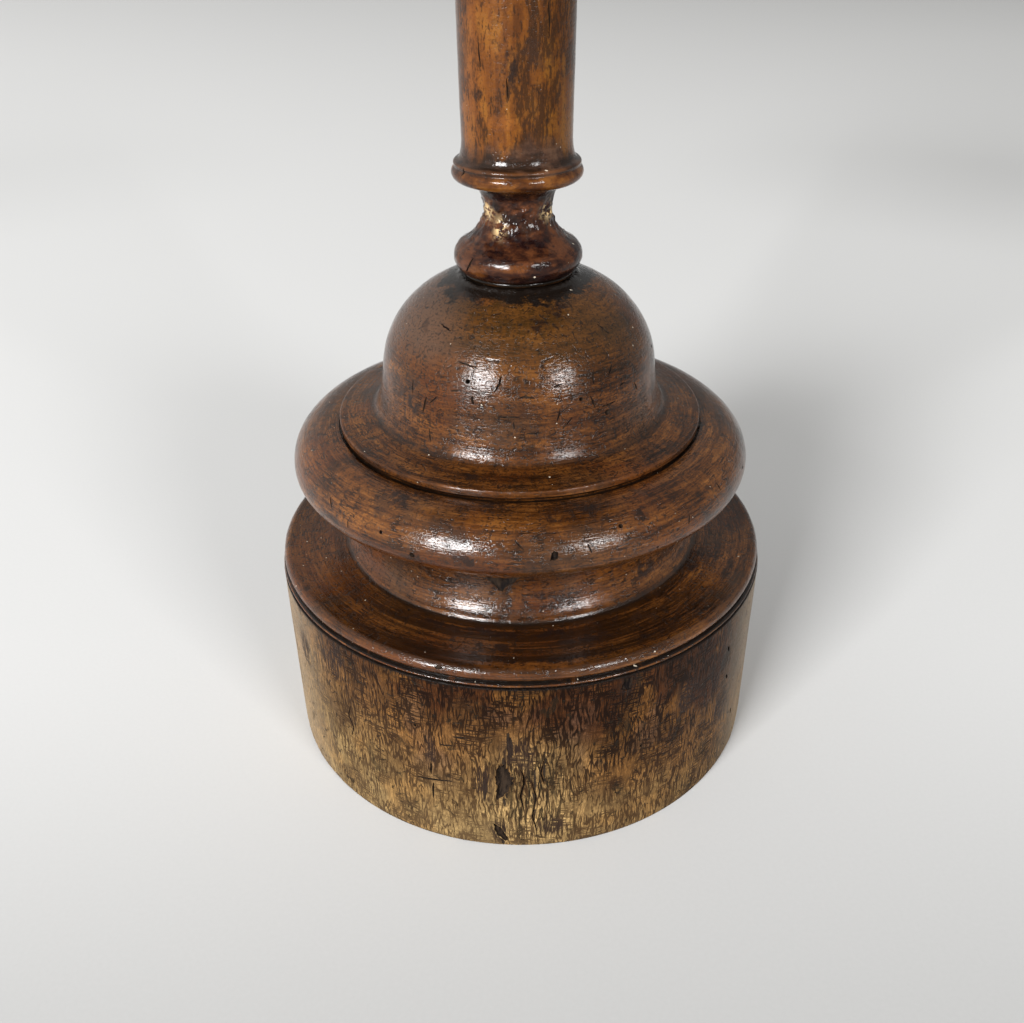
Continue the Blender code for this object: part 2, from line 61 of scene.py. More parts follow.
def arc(centre_r, centre_z, radius_r, radius_z, start, end, steps):
    """Points along an ellipse from one angle to another in degrees, both ends included."""
    angles = [math.radians(start + (end - start) * i / steps) for i in range(steps + 1)]
    return [(centre_r + radius_r * math.cos(a), centre_z + radius_z * math.sin(a)) for a in angles]


def curve(start, first, second, end, steps):
    """Points along a cubic Bezier curve, without its start."""
    points = []
    for i in range(1, steps + 1):
        t = i / steps
        weights = ((1 - t) ** 3, 3 * (1 - t) ** 2 * t, 3 * (1 - t) * t * t, t ** 3)
        corners = (start, first, second, end)
        points.append(tuple(sum(w * c[k] for w, c in zip(weights, corners)) for k in (0, 1)))
    return points


def refine(outline, spacing):
    """The outline with points added, so that no step is longer than the spacing."""
    points = [outline[0]]
    for (r0, z0), (r1, z1) in zip(outline[:-1], outline[1:]):
        steps = max(1, math.ceil(math.hypot(r1 - r0, z1 - z0) / spacing))
        points += [(r0 + (r1 - r0) * i / steps, z0 + (z1 - z0) * i / steps) for i in range(1, steps + 1)]
    return np.array(points)


# ---------------- noise for shapes

def lattice_value(x, y, z, seed):
    """A repeatable value from -1 to 1 for each whole-number point."""
    with np.errstate(over="ignore"):
        n = x * np.int64(73856093) ^ y * np.int64(19349663) ^ z * np.int64(83492791)
        n = n ^ np.int64(seed * 7919 + 101)
        n = (n ^ (n >> np.int64(13))) * np.int64(1274126177)
        n = (n ^ (n >> np.int64(15))) * np.int64(2246822519)
    return ((n >> np.int64(9)) & np.int64(0xFFFF)) / 32767.5 - 1


def noise(x, y, z, seed=0):
    """Smooth value noise from -1 to 1 with features of size 1."""
    x, y, z = np.broadcast_arrays(x, y, z)
    corner = [np.floor(v).astype(np.int64) for v in (x, y, z)]
    part = [v - c for v, c in zip((x, y, z), corner)]
    ease = [p * p * (3 - 2 * p) for p in part]
    total = np.zeros(x.shape)
    for i in (0, 1):
        for j in (0, 1):
            for k in (0, 1):
                weight = 1.0
                for e, bit in zip(ease, (i, j, k)):
                    weight = weight * (e if bit else 1 - e)
                total += weight * lattice_value(corner[0] + i, corner[1] + j, corner[2] + k, seed)
    return total


def rough(x, y, z, seed=0, octaves=3):
    """Noise with finer and weaker noise added."""
    total = 0
    for octave in range(octaves):
        factor = 2.03 ** octave
        total = total + noise(x * factor, y * factor, z * factor, seed + octave) / 2 ** octave
    return total / 1.6


# ---------------- turned pieces

def quads_between(index):
    """Faces that join each row of points to the next, all the way round."""
    right = np.roll(index, -1, axis=1)
    return np.stack([index[:-1], right[:-1], right[1:], index[1:]], axis=2).reshape(-1, 4).tolist()


class Turning:
    """A turned solid in the making: the grid of its surface, ring by ring up the outline.

    The outline is in mm and runs up the outer side. It closes round a bore, or starts and ends on the axis.
    """

    def __init__(self, outline, spacing, segments):
        self.solid = outline[0][0] == 0
        loop = refine(outline if self.solid else outline + outline[:1], spacing)
        self.outline = loop if self.solid else loop[:-1]
        self.r, self.z = self.outline.T
        after = np.roll(self.outline, -1, axis=0) - self.outline
        before = self.outline - np.roll(self.outline, 1, axis=0)
        after /= np.linalg.norm(after, axis=1)[:, None]
        before /= np.linalg.norm(before, axis=1)[:, None]
        along = after + before
        along /= np.maximum(np.linalg.norm(along, axis=1)[:, None], 1e-6)
        self.normal = np.stack([along[:, 1], -along[:, 0]], axis=1)
        step = np.linalg.norm(np.diff(self.outline, axis=0), axis=1)
        self.run = np.concatenate([[0], np.cumsum(step)])
        self.angle = 2 * np.pi * np.arange(segments) / segments
        self.relief = np.zeros((len(self.r), segments))
        self.masks = {}

    def grid(self):
        """Cosine, sine, radius and height for every point of the surface."""
        return (np.cos(self.angle)[None], np.sin(self.angle)[None], self.r[:, None], self.z[:, None])

    def uneven(self, amount, wide, tall, seed):
        """Swells of a height in mm, each about so wide and so tall."""
        cos, sin, r, z = self.grid()
        return amount * rough(cos * r / wide, sin * r / wide, z / tall, seed)

    def ripples(self, amount, around, spacing, seed):
        """The fine ridges that a turning tool leaves, by their number round the piece and their spacing."""
        cos, sin = self.grid()[:2]
        return amount * rough(cos * around, sin * around, self.run[:, None] / spacing, seed)

    def bend(self, reach):
        """How much the outline turns at each point, over a reach in mm: hollow is positive."""
        turned_by = []
        for i in range(len(self.run)):
            low = np.searchsorted(self.run, self.run[i] - reach)
            high = min(np.searchsorted(self.run, self.run[i] + reach), len(self.run) - 1)
            first, last = (self.outline[i] - self.outline[low], self.outline[high] - self.outline[i])
            cross = first[0] * last[1] - first[1] * last[0]
            turned_by.append(0 if i in (low, high) else -math.atan2(cross, first @ last))
        return np.array(turned_by)

    def crease_masks(self, hollow_reach=3.0, edge_reach=2.5):
        """Masks for dirt and painted shade where the outline is hollow, and for wear where it has an edge."""
        self.mask("hollow", np.clip(self.bend(hollow_reach) * 1.1 - 0.15, 0, 1)[:, None])
        self.mask("edge", np.clip(-self.bend(edge_reach) * 0.9 - 0.35, 0, 1)[:, None])

    def mask(self, name, values):
        """Sets a mask, or raises it where it is set already."""
        self.masks[name] = np.maximum(self.masks.get(name, 0), np.broadcast_to(values, self.relief.shape))

    def stain(self, name, *spots):
        """Raises a mask in soft spots of (angle, radius, height, width round, width up).

        The angle is in degrees and the rest in mm.
        """
        for angle, radius, height, around, up in spots:
            middle = self.run[np.argmin(np.hypot(self.r - radius, self.z - height))]
            turned_by = (self.angle - math.radians(angle) + math.pi) % (2 * math.pi) - math.pi
            reach = np.hypot(turned_by[None] * self.r[:, None] / around, (self.run - middle)[:, None] / up)
            self.mask(name, np.clip(1.5 - reach, 0, 1))

    def spot(self, angle, height, radius=None):
        """The nearest place on the outer surface, and the way out of it, for an angle in degrees from +X."""
        if radius is None:
            radius = self.r[np.abs(self.z - height) < 1.5].max()
        step = np.roll(self.outline, -1, axis=0) - self.outline
        offset = np.array((radius, height)) - self.outline
        part = np.clip((offset * step).sum(1) / np.maximum((step ** 2).sum(1), 1e-9), 0, 1)
        foot = self.outline + part[:, None] * step
        near = np.argmin(np.linalg.norm(foot - (radius, height), axis=1))
        cos, sin = (math.cos(math.radians(angle)), math.sin(math.radians(angle)))
        (r, z), (out_r, out_z) = (foot[near], self.normal[near])
        return (Vector((cos * r, sin * r, z)), Vector((cos * out_r, sin * out_r, out_z)))

    def points(self, values):
        """One value for each point of the mesh, from an array over the grid."""
        values = np.broadcast_to(values, self.relief.shape + values.shape[2:])
        flat = values.reshape(-1, *values.shape[2:])
        if self.solid:
            columns = len(self.angle)
            return np.concatenate([flat[:1], flat[columns:-columns], flat[-1:]])
        return flat

    def mesh(self, name):
        cos, sin, r, z = self.grid()
        out_r = r + self.relief * self.normal[:, :1]
        out_z = z + self.relief * self.normal[:, 1:]
        place = np.stack([cos * out_r, sin * out_r, out_z + 0 * cos], axis=2) * MM
        rows, columns = self.relief.shape
        index = np.arange(rows * columns).reshape(rows, columns)
        if self.solid:
            index = index[1:-1] - columns + 1
            last = int(index[-1, -1]) + 1
            faces = quads_between(index)
            faces += [(0, int(b), int(a)) for a, b in zip(index[0], np.roll(index[0], -1))]
            faces += [(int(a), int(b), last) for a, b in zip(index[-1], np.roll(index[-1], -1))]
        else:
            faces = quads_between(np.vstack([index, index[:1]]))
        mesh = bpy.data.meshes.new(name)
        mesh.from_pydata(self.points(place), [], faces)
        ring_place = np.stack(np.broadcast_arrays(cos, sin, self.run[:, None] * MM), axis=2)
        ring = mesh.attributes.new("ring", "FLOAT_VECTOR", "POINT")
        ring.data.foreach_set("vector", self.points(ring_place).astype(np.float32).ravel())
        for mask_name, values in self.masks.items():
            attribute = mesh.attributes.new(mask_name, "FLOAT", "POINT")
            attribute.data.foreach_set("value", self.points(values).astype(np.float32).ravel())
        mesh.update()
        return mesh

    def complete_rings(self, mesh):
        """Gives the points that a cut has made their place round the turning and along its outline."""
        ring = mesh.attributes["ring"]
        values = np.zeros(len(mesh.vertices) * 3, np.float32)
        ring.data.foreach_get("vector", values)
        places = np.zeros_like(values)
        mesh.vertices.foreach_get("co", places)
        values, places = (values.reshape(-1, 3), places.reshape(-1, 3) / MM)
        for i in np.flatnonzero(np.abs(values[:, :2]).max(axis=1) < 1e-3):
            radius = max(np.hypot(*places[i, :2]), 1e-6)
            nearest = np.argmin(np.hypot(self.r - radius, self.z - places[i, 2]))
            values[i] = (*places[i, :2] / radius, self.run[nearest] * MM)
        ring.data.foreach_set("vector", values.ravel())


def carved(mesh, cutter):
    """The mesh with a cutter taken out of it. The cut faces take the cutter's materials."""
    target = bpy.data.objects.new("carved", mesh)
    tool = bpy.data.objects.new("cutter", cutter)
    for made in (target, tool):
        bpy.context.scene.collection.objects.link(made)
    modifier = target.modifiers.new("cut", "BOOLEAN")
    modifier.operation = "DIFFERENCE"
    modifier.object = tool
    modifier.material_mode = "TRANSFER"
    graph = bpy.context.evaluated_depsgraph_get()
    result = bpy.data.meshes.new_from_object(target.evaluated_get(graph))
    for made in (target, tool):
        bpy.data.objects.remove(made)
    return result


def add_piece(node, mesh, body, slot, look=None, sharp=50):
    """A mesh as the piece that rides on a body and stands for a CAD node, named after the node."""
    name = node + ("_wood" if slot.endswith("wood") else "_detail")
    mesh.name = name
    mesh.shade_smooth()
    mesh.set_sharp_from_angle(angle=math.radians(sharp))
    if look:
        mesh.materials.append(look)
    piece = bpy.data.objects.new(name, mesh)
    bpy.context.scene.collection.objects.link(piece)
    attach(piece, body)
    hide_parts(node)


def add_turned(node, turning, marks, look, slot):
    """A turning with its marks cut, as the piece that stands for a CAD node of the base."""
    mesh = turning.mesh(node)
    mesh.materials.append(look)
    add_piece(node, marks.cut(mesh), "root", slot)


# ---------------- marks cut into turned pieces

class Marks:
    """Holes, scratches and chips in a turned surface, gathered into one cutter."""

    def __init__(self, turning, look):
        self.turning = turning
        self.shape = bmesh.new()
        self.look = look
        self.count = 0

    def tube(self, rings):
        """A closed solid through rings of points, capped at both ends."""
        rows = [[self.shape.verts.new(p * MM) for p in ring] for ring in rings]
        for low, high in zip(rows[:-1], rows[1:]):
            for i in range(len(low)):
                j = (i + 1) % len(low)
                self.shape.faces.new((low[i], low[j], high[j], high[i]))
        self.shape.faces.new(rows[0][::-1])
        self.shape.faces.new(rows[-1])
        self.count += 1

    def wobble(self, i, j, amount):
        """A repeatable factor close to 1 for a point of the mark in the making."""
        return 1 + amount * float(noise(i * 0.83 + 0.31, j * 0.71 + 0.17, self.count * 3.7, 5))

    def pit(self, angle, height, width, depth, radius=None):
        """A worm's flight hole."""
        middle, out = self.turning.spot(angle, height, radius)
        side = out.cross(Vector((0, 0, 1)) if abs(out.z) < 0.9 else Vector((1, 0, 0))).normalized()
        other = out.cross(side)
        rings = []
        levels = ((1.2, 1.25), (0.1, 1.1), (-0.3, 0.95), (-depth, 0.8), (-depth - 0.3, 0.45))
        for row, (lift, share) in enumerate(levels):
            ring = []
            for i in range(14):
                turn = 2 * math.pi * i / 14
                reach = width / 2 * share * self.wobble(i, row * 0.2, 0.10)
                ring.append(middle + out * lift + (side * math.cos(turn) + other * math.sin(turn)) * reach)
            rings.append(ring)
        self.tube(rings[::-1])

    def pits(self, *pits):
        """Flight holes of (angle, height, width, depth)."""
        for pit in pits:
            self.pit(*pit)

    def groove(self, path, width, depth, radius=None, steps=10):
        """A scratch or crack through (angle, height) points, widest in the middle."""
        rings = []
        for step in range(steps + 1):
            t = step / steps * (len(path) - 1)
            first = min(int(t), len(path) - 2)
            (a0, h0), (a1, h1) = (path[first], path[first + 1])
            part = t - first
            sway = 0.35 * width * float(noise(t * 2.3, self.count * 1.7, 0.4, 9))
            middle, out = self.turning.spot(a0 + (a1 - a0) * part, h0 + (h1 - h0) * part, radius)
            ahead, _ = self.turning.spot(a1, h1, radius)
            behind, _ = self.turning.spot(a0, h0, radius)
            side = out.cross((ahead - behind).normalized()).normalized()
            swell = math.sqrt(max(math.sin(math.pi * (0.03 + 0.94 * step / steps)), 0.02))
            half = max(width / 2 * swell * self.wobble(step, 1, 0.25), 0.12)
            deep = max(depth * swell * self.wobble(step, 2, 0.25), 0.15)
            ring = []
            for i in range(8):
                turn = 2 * math.pi * i / 8
                lift = math.sin(turn) * (deep if math.sin(turn) < 0 else 0.9)
                ring.append(middle + side * (half * math.cos(turn) + sway) + out * lift)
            rings.append(ring)
        self.tube(rings)

    def chip(self, corners, depth, radius=None, ragged=0.25):
        """A patch broken out between (angle, height) corners, counter-clockwise, with a ragged edge."""
        edge = []
        for (a0, h0), (a1, h1) in zip(corners, corners[1:] + corners[:1]):
            steps = 5
            edge += [(a0 + (a1 - a0) * i / steps, h0 + (h1 - h0) * i / steps) for i in range(steps)]
        spots = [self.turning.spot(a, h, radius) for a, h in edge]
        centre = sum((p for p, _ in spots), Vector()) / len(spots)
        rings = []
        for row, (lift, share) in enumerate(((1.5, 1.04), (0.0, 1.0), (-0.6 * depth, 0.86), (-depth, 0.6))):
            ring = []
            for i, (place, out) in enumerate(spots):
                reach = share * self.wobble(i * 1.9, 0, ragged)
                uneven = 1 if lift > 0 else self.wobble(i, 3, 0.3)
                ring.append(centre + (place - centre) * reach + out * lift * uneven)
            rings.append(ring)
        self.tube(rings)

    def cut(self, mesh):
        """The mesh with every mark cut out of it."""
        bmesh.ops.recalc_face_normals(self.shape, faces=self.shape.faces)
        cutter = bpy.data.meshes.new("marks")
        self.shape.to_mesh(cutter)
        self.shape.free()
        cutter.materials.append(self.look)
        result = carved(mesh, cutter)
        self.turning.complete_rings(result)
        return result


# ---------------- materials

class Nodes:
    """Short calls for building the node tree of one material, or of the world."""

    def __init__(self, name, owner=None):
        self.material = owner or bpy.data.materials.new(name)
        self.material.use_nodes = True
        self.tree = self.material.node_tree
        self.shader = self.tree.nodes["Background" if owner else "Principled BSDF"]
        self.place = self.tree.nodes.new("ShaderNodeTexCoord").outputs["Generated" if owner else "Object"]
        split = self.node("SeparateXYZ", Vector=self.place)
        self.x, self.y, self.z = split.outputs

    def node(self, kind, **inputs):
        made = self.tree.nodes.new("ShaderNode" + kind)
        for name, value in inputs.items():
            self.feed(made.inputs[name.replace("_", " ")], value)
        return made

    def feed(self, socket, value):
        if isinstance(value, bpy.types.NodeSocket):
            self.tree.links.new(value, socket)
        else:
            socket.default_value = value

    def math(self, operation, *values, clamp=False):
        made = self.tree.nodes.new("ShaderNodeMath")
        made.operation = operation
        made.use_clamp = clamp
        for socket, value in zip(made.inputs, values):
            self.feed(socket, value)
        return made.outputs[0]

    def chain(self, operation, values):
        total = values[0]
        for value in values[1:]:
            total = self.math(operation, total, value)
        return total

    def times(self, *values):
        """The product of all the values."""
        return self.chain("MULTIPLY", values)

    def plus(self, *values):
        """The sum of all the values."""
        return self.chain("ADD", values)

    def most(self, *values):
        """The largest of all the values."""
        return self.chain("MAXIMUM", values)

    def attribute(self, name, output="Fac"):
        made = self.tree.nodes.new("ShaderNodeAttribute")
        made.attribute_name = name
        return made.outputs[output]

    def scaled(self, place, scale, offset=(0, 0, 0)):
        made = self.tree.nodes.new("ShaderNodeMapping")
        self.feed(made.inputs["Vector"], place)
        made.inputs["Scale"].default_value = scale
        made.inputs["Location"].default_value = offset
        return made.outputs[0]

    def noise(self, scale, offset=(0, 0, 0), detail=2.0, rough=0.5, warp=0.0, place=None, output="Fac"):
        """Noise with its own scale along each axis, or one for all of them."""
        scale = scale if isinstance(scale, tuple) else (scale,) * 3
        made = self.node("TexNoise", Vector=self.scaled(place or self.place, scale, offset), Scale=1.0,
                         Detail=detail, Roughness=rough, Distortion=warp)
        return made.outputs[output]

    def contours(self, scale, width, offset=(0, 0, 0), detail=1.0, place=None):
        """Thin wandering lines, 1 on a line and 0 off it: the middle contours of a noise."""
        field = self.noise(scale, offset, detail=detail, place=place)
        return self.step(self.math("ABSOLUTE", self.math("SUBTRACT", field, 0.5)), width, width * 0.3)

    def swirl(self, scale, reach, place=None, offset=(0, 0, 0)):
        """The place moved by up to about half the reach, so that what is drawn on it bends."""
        field = self.noise(scale, offset, detail=1, place=place, output="Color")
        made = self.tree.nodes.new("ShaderNodeVectorMath")
        made.operation = "MULTIPLY_ADD"
        self.feed(made.inputs[0], field)
        made.inputs[1].default_value = (reach,) * 3
        self.feed(made.inputs[2], place or self.place)
        return made.outputs[0]

    def step(self, value, low, high, to_low=0.0, to_high=1.0):
        """Maps a range onto another with a smooth step, held beyond its ends."""
        made = self.tree.nodes.new("ShaderNodeMapRange")
        made.interpolation_type = "SMOOTHSTEP"
        for name, number in zip(("Value", "From Min", "From Max", "To Min", "To Max"),
                                (value, low, high, to_low, to_high)):
            self.feed(made.inputs[name], number)
        return made.outputs[0]

    def patches(self, scale, offset=(0, 0, 0), low=0.36, high=0.64, to=(0.0, 1.0), **details):
        """Noise with a smooth step between two of its levels."""
        return self.step(self.noise(scale, offset, **details), low, high, *to)

    def ramp(self, value, *stops):
        """A colour ramp from (position, colour) stops."""
        made = self.tree.nodes.new("ShaderNodeValToRGB")
        elements = made.color_ramp.elements
        while len(elements) < len(stops):
            elements.new(0.5)
        for element, (position, colour) in zip(elements, stops):
            element.position = position
            element.color = (*colour, 1)
        self.feed(made.inputs[0], value)
        return made.outputs[0]

    def mix(self, amount, first, second, blend="MIX"):
        made = self.tree.nodes.new("ShaderNodeMix")
        made.data_type = "RGBA"
        made.blend_type = blend
        self.feed(made.inputs["Factor"], amount)
        for name, value in (("A", first), ("B", second)):
            socket = [s for s in made.inputs if s.name == name and s.type == "RGBA"][0]
            self.feed(socket, (*value, 1) if isinstance(value, tuple) else value)
        return [s for s in made.outputs if s.type == "RGBA"][0]

    def paint(self, base, mask, colour, amount):
        """A colour laid over another by an amount where a mask is."""
        return self.mix(self.times(mask, amount), base, colour)

    def bump(self, height, distance, strength=1.0, under=None):
        """A bumped normal, over another one if it is given. The distance is in mm."""
        made = self.node("Bump", Height=height, Distance=distance * MM, Strength=strength)
        if under:
            self.feed(made.inputs["Normal"], under)
        return made.outputs[0]

    def finish(self, colour, roughness, normal=None, **constants):
        self.feed(self.shader.inputs["Base Color"], colour)
        self.feed(self.shader.inputs["Roughness"], roughness)
        if normal:
            self.feed(self.shader.inputs["Normal"], normal)
        for name, value in constants.items():
            self.shader.inputs[name.replace("_", " ")].default_value = value
        return self.material


# Near black, for dirt, and for painted shade in hollows and joints.
BLACK_DIRT_AND_SHADE = (0.006, 0.004, 0.003)
INK = (0.008, 0.004, 0.003)
DARK_BLOT = (0.020, 0.009, 0.005)
AMBER = (0.17, 0.055, 0.010)
RUBBED_WOOD = (0.105, 0.036, 0.009)
DUST = (0.55, 0.48, 0.38)


def scratch_lines(n, scale, width, offset, gaps):
    """Thin curved lines broken into short strokes: contour lines of a noise, seen through another."""
    strokes = n.noise(scale * 1.9, offset, detail=1)
    return n.times(n.contours(scale, width, offset, detail=0.5), n.step(strokes, gaps, gaps + 0.04))


def old_varnish(n, wood, relief, gloss=0.07, scratches=1.0, stains=0.6, shine=0.36):
    """Finishes a varnished wood: scratches, stains with some painted shade, dirt and painted shade in
    hollows, painted warm highlights, worn edges, dust and uneven gloss.
    """
    marks = n.most(scratch_lines(n, 85, 0.026, (4, 4, 4), 0.59),
                   scratch_lines(n, 170, 0.045, (7, 1, 4), 0.60))
    marks = n.times(marks, scratches)
    ragged = n.noise(170, (2, 8, 1), detail=4, rough=0.65)
    blots = n.patches(48, (1, 8, 3), 0.60, 0.68, detail=4, rough=0.62)
    colour = n.paint(wood, blots, DARK_BLOT, stains)
    # Painted light: warm amber patches where the glow mask is set, at the highlights on the turnings.
    glow = n.step(n.times(n.attribute("glow"), n.step(ragged, 0.34, 0.62, 0.4, 1.3)), 0.1, 1.2)
    colour = n.paint(colour, glow, AMBER, 0.4)
    # Dark spots: stains, and painted shade where the stain lists put it.
    spots = n.step(n.times(n.attribute("stain"), n.step(ragged, 0.62, 0.34, 0.3, 1.5)), 0.25, 1.2)
    colour = n.paint(colour, spots, INK, 0.85)
    specks = n.patches(820, (5, 5, 5), 0.55, 0.64, detail=1)
    colour = n.paint(colour, specks, BLACK_DIRT_AND_SHADE, 0.7 * scratches)
    colour = n.paint(colour, marks, BLACK_DIRT_AND_SHADE, 0.85)
    wear = n.times(n.attribute("edge"), n.patches(60, (2, 2, 6), 0.40, 0.62, detail=3, to=(0.1, 0.75)))
    colour = n.mix(wear, colour, RUBBED_WOOD)
    # Painted shade with dirt: hollows of the outline are darkened towards near black.
    grime_and_shade = n.times(n.attribute("hollow"), n.patches(130, (3, 9, 3), 0.25, 0.5, detail=3, to=(0.4, 1.25)))
    colour = n.mix(n.math("MINIMUM", grime_and_shade, 1.0), colour, BLACK_DIRT_AND_SHADE)
    dust = n.patches(520, (9, 9, 1), 0.875, 0.89, detail=0)
    colour = n.paint(colour, dust, DUST, 0.7)
    haze = n.noise(70, (6, 2, 2), detail=4, rough=0.65)
    roughness = n.plus(n.step(haze, 0.35, 0.68, gloss, gloss + 0.10), n.times(specks, 0.1),
                       n.times(dust, 0.4))
    normal = n.bump(n.noise(150, (2, 4, 8), detail=3, rough=0.55), 0.15, 0.5)
    normal = n.bump(relief, 0.05, 0.7, normal)
    normal = n.bump(n.times(n.plus(marks, n.times(specks, 0.25)), -1.0), 0.14, 0.8, normal)
    return n.finish(colour, roughness, normal, Specular_IOR_Level=shine)


def ring_wood(n, *shades):
    """Turned wood whose grain and tool lines run round it: its colour, and the height of its lines."""
    ring = n.attribute("ring", "Vector")
    bands = n.patches((0.9, 0.9, 120), (2, 7, 1), detail=4, rough=0.65, place=ring)
    streaks = n.patches((5, 5, 620), detail=3, rough=0.6, warp=0.3, place=ring)
    fine = n.patches((16, 16, 1300), (3, 1, 2), detail=2, rough=0.6, place=ring)
    wisps = n.patches((34, 34, 250), (5, 2, 2), 0.36, 0.66, detail=4, rough=0.7, place=ring)
    lines = n.most(n.contours((5, 5, 230), 0.028, (4, 4, 7), detail=2, place=ring),
                   n.contours((14, 14, 520), 0.035, (2, 4, 1), detail=2, place=ring))
    lines = n.times(lines,
                    n.patches((20, 20, 60), (7, 4, 1), 0.42, 0.60, detail=3, place=ring, to=(0.15, 1.0)))
    clouds = n.patches((20, 20, 28), (7, 2, 5), detail=3, rough=0.6, warp=0.8)
    tone = n.plus(n.times(clouds, 0.22), n.times(bands, 0.28), n.times(streaks, 0.24), n.times(fine, 0.16),
                  n.times(wisps, 0.10))
    dark, brown, warm, pale, grey, red = shades
    colour = n.ramp(tone, (0.18, dark), (0.36, brown), (0.60, warm), (0.90, pale))
    greyed = n.patches((17, 17, 26), (4, 9, 5), 0.52, 0.66, detail=3, rough=0.6)
    colour = n.paint(colour, greyed, grey, 0.5)
    glow = n.patches((15, 15, 22), (1, 3, 9), 0.50, 0.64, detail=2)
    colour = n.paint(colour, glow, red, 0.45)
    # Painted shade: the front and back of each turning are darker than its sides, which catch more light.
    colour = n.mix(n.step(n.math("ABSOLUTE", n.x), 0.10, 0.02), colour, (0.72, 0.70, 0.68), "MULTIPLY")
    colour = n.paint(colour, lines, dark, 0.85)
    return (colour, n.plus(fine, streaks, n.times(lines, -1.5)))


MOULDING_SHADES = ((0.008, 0.003, 0.001), (0.040, 0.013, 0.003), (0.088, 0.030, 0.006), (0.165, 0.063, 0.014),
                   (0.042, 0.022, 0.011), (0.085, 0.022, 0.004))


def moulding_look():
    n = Nodes("varnished_moulding")
    colour, relief = ring_wood(n, *MOULDING_SHADES)
    # Grain bands on the ledge, darkened most at the front and back as painted shade under the torus.
    ledge = n.times(n.step(n.z, 0.1265, 0.1235), n.step(n.z, 0.1180, 0.1205))
    bands = n.patches((0.6, 0.6, 230), (1, 9, 3), 0.40, 0.56, detail=3, place=n.attribute("ring", "Vector"))
    front = n.step(n.math("ABSOLUTE", n.x), 0.12, 0.05, 0.3, 0.8)
    colour = n.mix(n.times(ledge, bands, front), colour, MOULDING_SHADES[0])
    return old_varnish(n, colour, relief, scratches=0.6)


def dome_look(top):
    """The dome's varnish, with a thick black ring of dirt round the column's foot."""
    n = Nodes("varnished_dome")
    colour, relief = ring_wood(n, *MOULDING_SHADES)
    level = n.plus(n.z, n.times(n.plus(n.noise(110, (1, 1, 2), detail=4, rough=0.7), -0.5), 0.014))
    soot = n.step(level, top - 0.0044, top - 0.0028)
    olive = n.times(n.step(level, top - 0.040, top - 0.012), n.step(n.y, -0.005, -0.035))
    colour = n.paint(colour, olive, (0.048, 0.023, 0.006), 0.45)
    # Painted sheen: the upper left of the dome is greyed, where the brightest light falls.
    greyed = n.times(n.step(level, top - 0.034, top - 0.020), n.step(n.x, -0.022, -0.045))
    colour = n.paint(colour, greyed, (0.070, 0.040, 0.026), 0.6)
    colour = n.mix(soot, colour, BLACK_DIRT_AND_SHADE)
    return old_varnish(n, colour, relief, scratches=0.8, shine=0.26)


# Heights in metres at which the column changes colour
DIRT_TOP = 277.6 * MM
COLLAR_FOOT = 319.5 * MM
COLLAR_MIDDLE = 329 * MM
SHAFT_FOOT = (339 * MM, 345 * MM)
SHAFT_HEAD = 592 * MM
UPPER_COLLAR = 612 * MM


